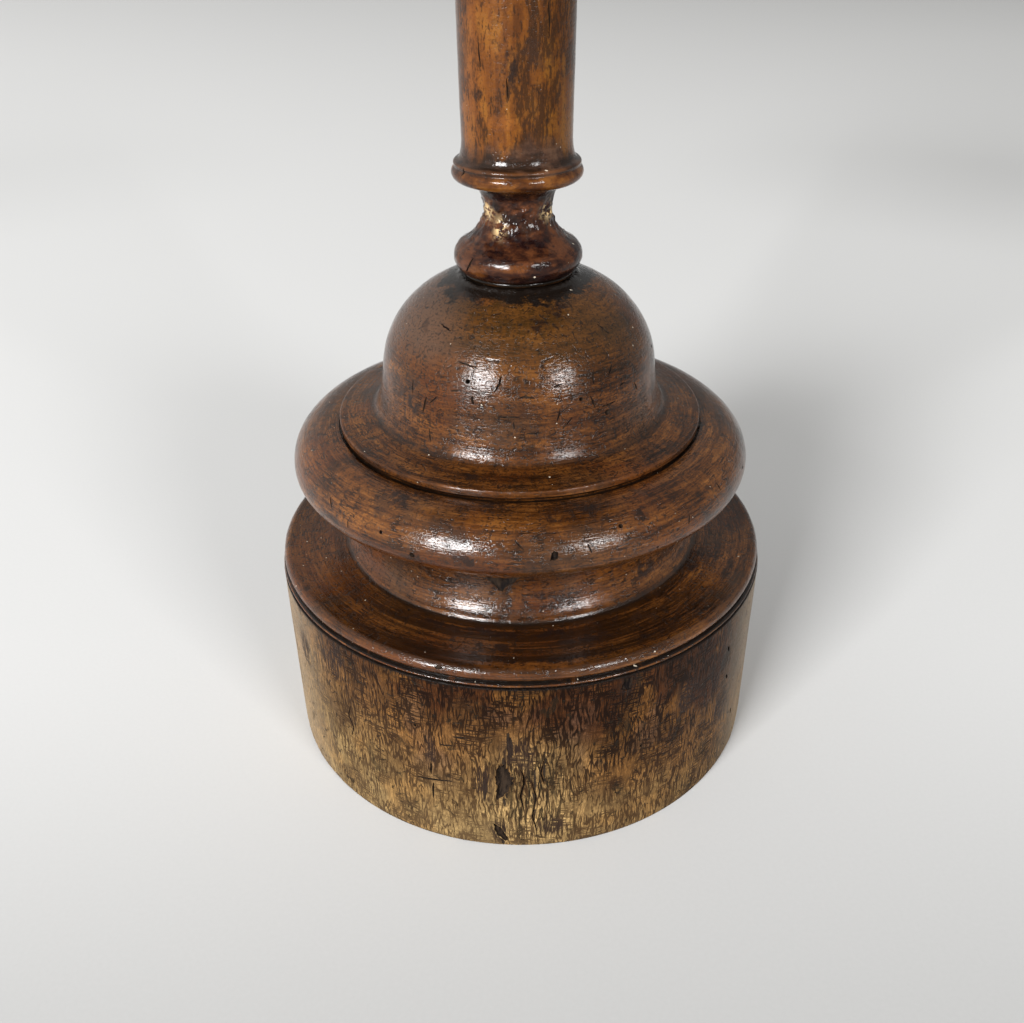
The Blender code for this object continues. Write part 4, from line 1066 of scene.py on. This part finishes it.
def sawn_wood(n, along, heart, ring_size, *shades):
    """Sawn wood with its grain along an axis: its colour, and the height of its grain.

    The heart is where the middle of the tree lies across the other two axes, in metres.
    """
    along, across, up = {"x": (n.x, n.y, n.z), "y": (n.y, n.x, n.z)}[along]
    grain = n.node("CombineXYZ", X=along, Y=across, Z=up).outputs[0]
    side = [n.math("POWER", n.math("ABSOLUTE", n.math("SUBTRACT", value, middle)), 2.0)
            for value, middle in zip((across, up), heart)]
    depth = n.math("SQRT", n.plus(*side))
    depth = n.plus(depth, n.times(n.noise((2.2, 9, 9), detail=2, place=grain), 0.045))
    ring_place = n.node("CombineXYZ", X=n.times(depth, 1 / ring_size), Y=n.times(along, 1.2),
                        Z=0.5).outputs[0]
    rings = n.patches(1.0, (0, 0, 0), 0.34, 0.66, detail=3, rough=0.6, place=ring_place)
    fibres = n.patches((16, 750, 750), (0, 0, 0), 0.35, 0.65, detail=3, rough=0.6, place=grain)
    pores = n.patches((70, 1500, 1500), (2, 2, 2), 0.60, 0.68, detail=1, place=grain)
    clouds = n.patches((7, 20, 20), (5, 3, 1), 0.35, 0.65, detail=3, rough=0.6, place=grain)
    tone = n.plus(n.times(rings, 0.48), n.times(fibres, 0.22), n.times(clouds, 0.30))
    dark, brown, warm, pale = shades
    colour = n.ramp(tone, (0.12, dark), (0.38, brown), (0.64, warm), (0.9, pale))
    colour = n.paint(colour, pores, dark, 0.65)
    return (colour, n.plus(fibres, n.times(pores, -2.0)))


def table_top_look():
    n = Nodes("varnished_top")
    colour, relief = sawn_wood(n, "x", (0.02, 0.58), 0.0052, (0.014, 0.004, 0.002), (0.048, 0.014, 0.004),
                               (0.100, 0.032, 0.007), (0.165, 0.062, 0.015))
    faded = n.patches((6, 9, 9), (3, 3, 3), 0.46, 0.64, detail=3)
    colour = n.paint(colour, faded, (0.12, 0.048, 0.015), 0.4)
    return old_varnish(n, colour, relief, gloss=0.17, scratches=0.55, stains=0.35)


def frame_wood_look():
    """The bearers and the tablet block: stained once, and handled rather than polished."""
    n = Nodes("stained_frame_wood")
    colour, relief = sawn_wood(n, "y", (0.03, 0.61), 0.0042, (0.022, 0.009, 0.004), (0.060, 0.024, 0.009),
                               (0.110, 0.048, 0.018), (0.17, 0.082, 0.032))
    return old_varnish(n, colour, relief, gloss=0.34, scratches=0.5, stains=0.5)


def bare_wood_look():
    n = Nodes("bare_wood")
    colour, relief = sawn_wood(n, "x", (0.0, 0.66), 0.0021, (0.10, 0.055, 0.024), (0.20, 0.12, 0.058),
                               (0.29, 0.19, 0.095), (0.36, 0.25, 0.14))
    dirt = n.patches(120, (2, 3, 4), 0.48, 0.66, detail=4, rough=0.65)
    colour = n.paint(colour, dirt, (0.045, 0.026, 0.014), 0.6)
    return n.finish(colour, 0.62, n.bump(relief, 0.12, 0.8), Specular_IOR_Level=0.3)


def brass_look():
    n = Nodes("tarnished_brass")
    rubbed = n.noise(230, (1, 1, 1), detail=4, rough=0.65)
    brushed = n.noise((900, 120, 900), (2, 5, 1), detail=2)
    colour = n.ramp(rubbed, (0.36, (0.11, 0.070, 0.030)), (0.50, (0.30, 0.19, 0.075)),
                    (0.66, (0.52, 0.36, 0.15)))
    spots = n.patches(520, (3, 3, 3), 0.60, 0.68, detail=2)
    colour = n.paint(colour, spots, (0.035, 0.030, 0.018), 0.8)
    roughness = n.plus(n.step(rubbed, 0.36, 0.64, 0.56, 0.30), n.times(spots, 0.15))
    normal = n.bump(brushed, 0.03, 0.6)
    normal = n.bump(n.times(spots, -1.0), 0.05, 0.7, normal)
    return n.finish(colour, roughness, normal, Metallic=1.0)


def iron_look():
    n = Nodes("rusty_iron")
    rust = n.patches(420, (1, 4, 1), 0.44, 0.60, detail=4, rough=0.7)
    colour = n.mix(rust, (0.060, 0.056, 0.052), (0.115, 0.042, 0.018))
    pitted = n.noise(1400, (2, 2, 2), detail=2)
    n.feed(n.shader.inputs["Metallic"], n.math("SUBTRACT", 0.9, n.times(rust, 0.7)))
    return n.finish(colour, n.plus(n.times(rust, 0.3), 0.48), n.bump(n.plus(pitted, rust), 0.06, 0.9))


# ---------------- tools for the upper half

def corners(node):
    """A CAD node's lowest and highest corners, in mm."""
    return [[value / MM for value in corner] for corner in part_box(node)]


def middle(node):
    """The middle of a CAD node's box, in mm."""
    low, high = corners(node)
    return [(a + b) / 2 for a, b in zip(low, high)]


def placed(mesh, place, turn=(0, 0, 0)):
    """The mesh turned about the origin by angles in degrees, then moved to a place in mm."""
    rotation = Matrix.Identity(4)
    for angle, axis in zip(turn, "XYZ"):
        rotation = Matrix.Rotation(math.radians(angle), 4, axis) @ rotation
    mesh.transform(Matrix.Translation([value * MM for value in place]) @ rotation)
    return mesh


def joined(name, meshes, look=None):
    """Separate meshes as one."""
    shape = bmesh.new()
    for mesh in meshes:
        shape.from_mesh(mesh)
    made = bpy.data.meshes.new(name)
    shape.to_mesh(made)
    shape.free()
    if look:
        made.materials.append(look)
    return made


def drill(outline, place, turn=(0, 0, 0), segments=48):
    """A round cutter from an outline of (radius, height)."""
    return placed(Turning(outline, spacing=60, segments=segments).mesh("drill"), place, turn)


def box_cutter(low, high, look):
    return box_solid(low, high).to_mesh("box_cutter", look)


def eased_bore(radius, half, reach, lip):
    """The outline of a through bore whose mouths are eased by a lip."""
    return [(0, -reach), (radius + lip, -reach), (radius + lip, -half - 0.7), (radius, -half), (radius, half),
            (radius + lip, half + 0.7), (radius + lip, reach), (0, reach)]


DRIVEN_UP = (180, 0, 0)
DRIVEN_FORWARD = (-90, 0, 0)
BEARER_SCREW = (4.5, 2.4, 26)  # radius of the head and of the shank, and length, in mm
SMALL_SCREW = (3.0, 1.3, 11)
THREAD_PITCH = 1.2  # mm
COUNTERSINK = [(0, -4), (1.6, -4), (1.6, -1.7), (3.2, -0.1), (3.2, 5), (0, 5)]
SCREW_NUMBERS = (1, 2, 3, 4)


def screw_mesh(size, look):
    """A countersunk screw, head up at height 0, with its slot cut and its thread turned."""
    head, shank, length = size
    cone = head - shank
    thread_start = -length + 2.5 * shank
    outline = [(0, -length), (0.35, -length + 0.2), (shank * 0.9, thread_start)]
    threads = int((length - 2.5 * shank - cone) * 0.6 / THREAD_PITCH)
    for i in range(threads):
        z = thread_start + THREAD_PITCH * i
        outline += [(shank, z + 0.25), (shank * 0.72, z + 0.9)]
    outline += [(shank, outline[-1][1] + 0.6), (shank, -cone), (head - 0.05, -0.45), (head, -0.3)]
    outline += [(head - 0.12, -0.08), (head - 0.4, 0), (0, 0)]
    blank = Turning(outline, spacing=0.9, segments=48).mesh("screw")
    blank.materials.append(look)
    slot = box_cutter((-0.4, -8, -0.9), (0.4, 8, 2), look)
    return carved(blank, slot)


def add_screws(names, body, slot, blank, turn, face):
    """One screw for each CAD screw, its head at the face of its box, and its slot turned by chance."""
    for number, name in enumerate(names):
        place = middle(name)
        axis, end = face
        place[axis] = corners(name)[end][axis]
        mesh = blank.copy()
        spin = 180 * float(noise(number * 1.7, len(name) * 0.9, 0.5, 3))
        mesh.transform(Matrix.Rotation(math.radians(spin), 4, "Z"))
        add_piece(name, placed(mesh, place, turn), body, slot)


# ---------------- the top

TOP_RADIUS = 260  # mm
SEAM_WEAR = 1.0  # mm, how far the seams' worn edges reach
SEAM_DROP = 0.30  # mm, how deep they are worn


def disc():
    """The round top before it is sawn into boards: thumb-moulded above, chamfered beneath."""
    (_, _, under), (_, _, top) = corners("top_board_middle")
    outline = [(0, under), (TOP_RADIUS - 16.6, under), (TOP_RADIUS - 15.6, under + 0.3)]
    outline += [(TOP_RADIUS - 2.9, under + 5.2)]
    outline += arc(TOP_RADIUS - 6, under + 9.5, 6, 4.5, -45, 90, 18)
    outline += [(TOP_RADIUS - 8.6, under + 14.2), (TOP_RADIUS - 9, under + 14.7), (TOP_RADIUS - 9, top - 0.8)]
    outline += arc(TOP_RADIUS - 9.9, top - 0.9, 0.9, 0.9, 0, 90, 4)
    outline += [(0, top)]
    t = Turning(outline, spacing=3.4, segments=600)
    cos, sin, r, z = t.grid()
    x, y = (cos * r, sin * r)
    inside = ((t.r > 1) & (t.r < TOP_RADIUS - 1))[:, None] * 1.0
    along_the_grain = 0.14 * rough(x / 90, y / 11, z / 30, 113)
    t.relief = inside * (along_the_grain + 0.08 * rough(x / 16, y / 16, z / 9, 121) - 0.02)
    t.crease_masks(2.2, 2.2)
    return t.mesh("disc")


def board(mesh, low_y, high_y):
    """The part of the disc between two seams, with the edges at the seams worn down a little."""
    shape = bmesh.new()
    shape.from_mesh(mesh)
    middle_z = middle("top_board_middle")[2] * MM
    for y, outward in ((low_y, -1), (high_y, 1)):
        if abs(y) > TOP_RADIUS:
            continue
        for inset in (SEAM_WEAR, 0):
            everything = shape.verts[:] + shape.edges[:] + shape.faces[:]
            cut_y = (y - outward * inset) * MM
            bmesh.ops.bisect_plane(shape, geom=everything, plane_co=(0, cut_y, 0), plane_no=(0, outward, 0),
                                   clear_outer=inset == 0)
        bmesh.ops.holes_fill(shape, edges=[e for e in shape.edges if e.is_boundary], sides=0)
        for vert in shape.verts:
            if abs(vert.co.y - y * MM) < 0.001 * MM:
                inward = -SEAM_DROP if vert.co.z > middle_z else SEAM_DROP
                vert.co.z += inward * MM * (1 + 0.5 * float(noise(vert.co.x / MM / 20, y, 0.5, 7)))
    made = bpy.data.meshes.new("board")
    shape.to_mesh(made)
    shape.free()
    return made


def top_boards(look):
    whole = disc()
    for node in ("top_board_front", "top_board_middle", "top_board_rear"):
        low, high = corners(node)
        add_piece(node, board(whole, low[1], high[1]), "tabletop", "polished_wood", look)


BEARER_TAPER = 70  # mm, how far a bearer's underside slopes up towards each end
BEARER_END_DEPTH = 12.7  # mm
WELL_RADIUS = 5.2  # mm, of the hole over a bearer screw's head


def bearers(look):
    axis_y, axis_z = middle("pivot_pin_left")[1:]
    for side in ("left", "right"):
        (x0, y0, z0), (x1, y1, z1) = corners(f"bearer_{side}")
        outline = [(y0, z1), (y0, z1 - BEARER_END_DEPTH), (y0 + BEARER_TAPER, z0), (y1 - BEARER_TAPER, z0),
                   (y1, z1 - BEARER_END_DEPTH), (y1, z1)]
        solid = side_solid(outline, x0, x1).ease(1.5, segments=3).slice_up(6)
        solid.weather(0.12, (30, 70, 30), seed=131)
        mesh = solid.to_mesh(f"bearer_{side}", look)
        hole = eased_bore(7.4, 11.5, 20, 0.8)
        cutters = [drill(hole, ((x0 + x1) / 2, axis_y, axis_z), (0, 90, 0))]
        for number in SCREW_NUMBERS:
            name = f"bearer_screw_{side}_{number}"
            x, y, _ = middle(name)
            head_z = corners(name)[0][2]
            well = [(0, -2.4), (2.7, -2.4), (4.8, -0.3), (WELL_RADIUS, -0.3), (WELL_RADIUS, 30), (0, 30)]
            cutters.append(drill(well, (x, y, head_z), DRIVEN_UP, 32))
        mesh = carved(mesh, joined("bearer_cutter", cutters, look))
        add_piece(f"bearer_{side}", mesh, "tabletop", "polished_wood")


# ---------------- the tablet block and its pins

def pivot_block(look, bare):
    (x0, y0, z0), (x1, y1, z1) = corners("pivot_block")
    axis_y, axis_z = middle("pivot_pin_left")[1:]
    nose = (z1 - z0) / 2
    outline = [(y1, z0), (y1, z1)] + arc(axis_y, axis_z, nose, nose, 90, 180, 14) + [(axis_y - nose, z0)]
    solid = side_solid(outline, x0, x1)

    def on_an_end(edge):
        return abs(edge.verts[0].co.x - edge.verts[1].co.x) < 1e-6

    solid.ease(2.5, segments=1, least_angle=60, keep=on_an_end).ease(0.45, segments=2, least_angle=40)
    mesh = solid.slice_up(6).weather(0.12, (40, 70, 30), seed=141).to_mesh("pivot_block", look)
    keeper_low, keeper_high = corners("keeper_plate")
    cutters = [drill(eased_bore(16.3, 12.7, 40, 0.7), (0, 0, axis_z), segments=72)]
    for side, turn in ((-1, -90), (1, 90)):
        hole = [(0, -35.3), (7.3, -35.3), (7.3, -0.8), (8.1, 0), (8.1, 10), (0, 10)]
        cutters.append(drill(hole, (side * x1, axis_y, axis_z), (0, turn, 0)))
    cutters.append(box_cutter([value - GAP for value in keeper_low], (keeper_high[0] + GAP, y1 + 5, z1 + 5),
                              bare))
    mesh = carved(mesh, joined("block_cutter", cutters, look))
    mesh = carved(mesh, mortise(keeper_low[1] - 14, y1 + 5, bare))
    add_piece("pivot_block", mesh, "root", "polished_wood")


def mortise(low_y, high_y, look):
    """A cutter for the hole that the bolt enters, with 1 mm to spare round the bolt."""
    bolt_low, bolt_high = corners("catch_bolt")
    return box_cutter((bolt_low[0] - 1, low_y, bolt_low[2] - 1),
                      (bolt_high[0] + 1, high_y, bolt_high[2] + 1), look)


def pivot_pins(look):
    for side, turn in (("left", -90), ("right", 90)):
        low, high = corners(f"pivot_pin_{side}")
        radius = (high[2] - low[2]) / 2
        half = (high[0] - low[0]) / 2
        outline = [(0, -half), (radius - 1.2, -half), (radius - 0.3, -half + 0.5), (radius, -half + 1.4)]
        outline += [(radius, half - 1.2), (radius - 0.3, half - 0.4), (radius - 1.1, half), (0, half)]
        t = Turning(outline, spacing=1.2, segments=48)
        cos, sin, _, z = t.grid()
        tool_marks = rough(cos * 2.5, sin * 2.5, z / 9, 151)
        t.relief = (t.r > 2)[:, None] * 0.07 * (tool_marks - 0.7)
        mesh = placed(t.mesh("pin"), middle(f"pivot_pin_{side}"), (0, turn, 0))
        add_piece(f"pivot_pin_{side}", mesh, "root", "plain_wood", look)


def tenon_wedges(look):
    for end, up in (("head", 1), ("foot", -1)):
        name = f"column_{end}_wedge"
        low, high = corners(name)
        outer, inner = (high[2], low[2]) if up > 0 else (low[2], high[2])
        half = (high[1] - low[1]) / 2
        outline = [(-half, outer), (-half * 0.55, inner), (half * 0.55, inner), (half, outer)]
        solid = side_solid(outline, low[0], high[0]).ease(0.25, least_angle=40).slice_up(2.5)
        mesh = solid.weather(0.06, (9, 2, 3), seed=161).to_mesh(name)
        add_piece(name, mesh, "root", "plain_wood", look)


# ---------------- brass catch and keeper

def plate_solid(low, high, corner):
    """A flat plate with rounded corners as seen from above, and eased edges."""

    def upright(edge):
        a, b = edge.verts
        return math.hypot(a.co.x - b.co.x, a.co.y - b.co.y) < 1e-6

    solid = box_solid(low, high).ease(corner, segments=5, keep=upright)
    return solid.ease(0.3, least_angle=60).slice_up(3.0)


def catch_plate(look, screws):
    low, high = corners("catch_plate")
    plate = plate_solid(low, high, 2.0).weather(0.05, (12, 12, 12), seed=171).to_mesh("catch_plate", look)
    cutters = [drill(COUNTERSINK, (*middle(name)[:2], low[2]), DRIVEN_UP, 40) for name in screws]
    mesh = carved(plate, joined("plate_cutter", cutters, look))
    add_piece("catch_plate", mesh, "tabletop", "brass", sharp=35)


def staples(look):
    """U-shaped guides for the bolt. Their outline is drawn from the front, so they are turned to face it."""
    bolt_low, bolt_high = corners("catch_bolt")
    inner = bolt_high[0] + GAP
    floor = bolt_low[2] - GAP
    for name in ("catch_staple_front", "catch_staple_rear"):
        (x0, y0, z0), (x1, y1, z1) = corners(name)
        outline = [(x0, z1), (x0, z0), (x1, z0), (x1, z1), (inner, z1), (inner, floor), (-inner, floor),
                   (-inner, z1)]
        solid = side_solid(outline, y0, y1).ease(0.6, segments=3, least_angle=60).slice_up(2.5)
        mesh = placed(solid.weather(0.05, (5, 5, 5), seed=181).to_mesh(name), (0, 0, 0), (0, 0, 90))
        add_piece(name, mesh, "tabletop", "brass", look)


def bolt_and_knob(look):
    (x0, y0, z0), (x1, y1, z1) = corners("catch_bolt")
    outline = [(y0, z0 + 2), (y0 + 2, z0), (y1, z0), (y1, z1), (y0, z1)]
    solid = side_solid(outline, x0, x1).ease(0.45, segments=3).slice_up(2.5)
    solid.weather(0.04, (6, 6, 6), seed=191)
    add_piece("catch_bolt", solid.to_mesh("catch_bolt"), "catch_bolt", "brass", look)
    (_, _, bottom), (_, _, top) = corners("catch_knob")
    outline = [(0, bottom)] + arc(0, top - 9.5, 5.5, 5, -78, 60, 18)
    outline += [(2.5, top - 5.1), (2.1, top - 4.4), (2.0, top - 2.6), (2.5, top - 2.0), (3.3, top - 1.7)]
    outline += [(3.6, top - 1.3), (3.6, top - 0.2), (3.4, top), (0, top)]
    knob = Turning(outline, spacing=0.5, segments=56).mesh("catch_knob")
    mesh = placed(knob, (*middle("catch_knob")[:2], 0))
    add_piece("catch_knob", mesh, "catch_bolt", "brass", look, sharp=40)


def keeper(look, screws):
    low, high = corners("keeper_plate")
    solid = box_solid(low, high).ease(0.3, segments=2).slice_up(3.0).weather(0.04, (9, 9, 9), seed=201)
    cutters = [mortise(low[1] - 4, high[1] + 4, look)]
    for name in screws:
        x, _, z = middle(name)
        cutters.append(drill(COUNTERSINK, (x, high[1], z), DRIVEN_FORWARD, 40))
    mesh = carved(solid.to_mesh("keeper_plate", look), joined("keeper_cutter", cutters, look))
    add_piece("keeper_plate", mesh, "root", "brass", sharp=35)


def upper_half():
    top = table_top_look()
    timber = frame_wood_look()
    bare = bare_wood_look()
    brass = brass_look()
    iron = iron_look()
    sides = ("left", "right")
    bearer_screws = [f"bearer_screw_{side}_{number}" for side in sides for number in SCREW_NUMBERS]
    plate_screws = [f"catch_screw_{number}" for number in SCREW_NUMBERS]
    keeper_screws = [f"keeper_screw_{side}" for side in sides]
    top_boards(top)
    bearers(timber)
    pivot_block(timber, bare)
    pivot_pins(bare)
    tenon_wedges(bare)
    add_screws(bearer_screws, "tabletop", "iron", screw_mesh(BEARER_SCREW, iron), DRIVEN_UP, (2, 0))
    catch_plate(brass, plate_screws)
    small = screw_mesh(SMALL_SCREW, brass)
    add_screws(plate_screws, "tabletop", "brass", small, DRIVEN_UP, (2, 0))
    add_screws(keeper_screws, "root", "brass", small, DRIVEN_FORWARD, (1, 1))
    staples(brass)
    bolt_and_knob(brass)
    keeper(brass, keeper_screws)


# ---------------- camera, light and floor

def look_from(place, target):
    return (Vector(target) - Vector(place)).to_track_quat("-Z", "Y").to_matrix().to_4x4()


def add_camera():
    data = bpy.data.cameras.new("camera")
    data.sensor_width = 36
    data.lens = CAMERA_LENS
    data.clip_start = 0.01
    camera = bpy.data.objects.new("camera", data)
    turn = Matrix.Rotation(math.pi / 2 - CAMERA_PITCH, 4, "X") @ Matrix.Rotation(CAMERA_ROLL, 4, "Z")
    camera.matrix_world = Matrix.Translation(CAMERA_PLACE) @ turn
    bpy.context.scene.collection.objects.link(camera)
    bpy.context.scene.camera = camera


def add_window(name, azimuth, elevation, wide, tall, radiance):
    """A soft rectangular light, seen from the base at an azimuth from -Y and an elevation.

    The angles are in degrees, and so are its width and height as seen from there.
    """
    az, el = (math.radians(azimuth), math.radians(elevation))
    direction = Vector((math.sin(az) * math.cos(el), -math.cos(az) * math.cos(el), math.sin(el)))
    data = bpy.data.lights.new(name, "AREA")
    data.shape = "RECTANGLE"
    data.size = 2 * WINDOW_DISTANCE * math.tan(math.radians(wide / 2))
    data.size_y = 2 * WINDOW_DISTANCE * math.tan(math.radians(tall / 2))
    data.energy = radiance * math.pi * data.size * data.size_y
    light = bpy.data.objects.new(name, data)
    place = WINDOW_TARGET + direction * WINDOW_DISTANCE
    light.matrix_world = Matrix.Translation(place) @ look_from(place, WINDOW_TARGET)
    bpy.context.scene.collection.objects.link(light)


def add_floor():
    n = Nodes("studio_floor")
    # Painted shade: the floor is darker in front of the base and towards the right, with a little random
    # tone.
    tone_and_shade = n.plus(n.step(n.y, -0.45, 0.05, 0.02, 0.60), n.times(n.x, -0.12),
                  n.times(n.noise(420, detail=2), 0.06))
    colour = n.ramp(tone_and_shade, (0.0, (0.315, 0.315, 0.311)), (1.0, (0.68, 0.68, 0.677)))
    look = n.finish(colour, 0.75, Specular_IOR_Level=0.3)
    shape = bmesh.new()
    bmesh.ops.create_circle(shape, cap_ends=True, segments=96, radius=FLOOR_RADIUS)
    mesh = bpy.data.meshes.new("studio_floor")
    shape.to_mesh(mesh)
    shape.free()
    mesh.materials.append(look)
    floor = bpy.data.objects.new("studio_floor", mesh)
    bpy.context.scene.collection.objects.link(floor)


def add_studio():
    """Pale air, brightest from the left and dim behind, and two windows in front."""
    world = bpy.data.worlds.new("studio_air")
    n = Nodes("studio_air", world)
    n.feed(n.shader.inputs["Color"], (1.0, 0.995, 0.975, 1))
    n.feed(n.shader.inputs["Strength"],
           n.times(n.step(n.x, 0.2, -0.9, 0.43, 0.92), n.step(n.y, 0.15, 0.8, 1.0, 0.8)))
    bpy.context.scene.world = world
    add_window("window_left", azimuth=-34, elevation=23, wide=21, tall=14, radiance=68)
    add_window("window_right", azimuth=35, elevation=22, wide=17, tall=12, radiance=38)
    bpy.context.scene.view_settings.view_transform = "Standard"


def main():
    add_camera()
    add_studio()
    add_floor()
    moulding = moulding_look()
    broken = broken_wood_look()
    drum(broken)
    plinth_moulding(moulding, broken)
    dome(broken)
    column(broken)
    upper_half()


main()
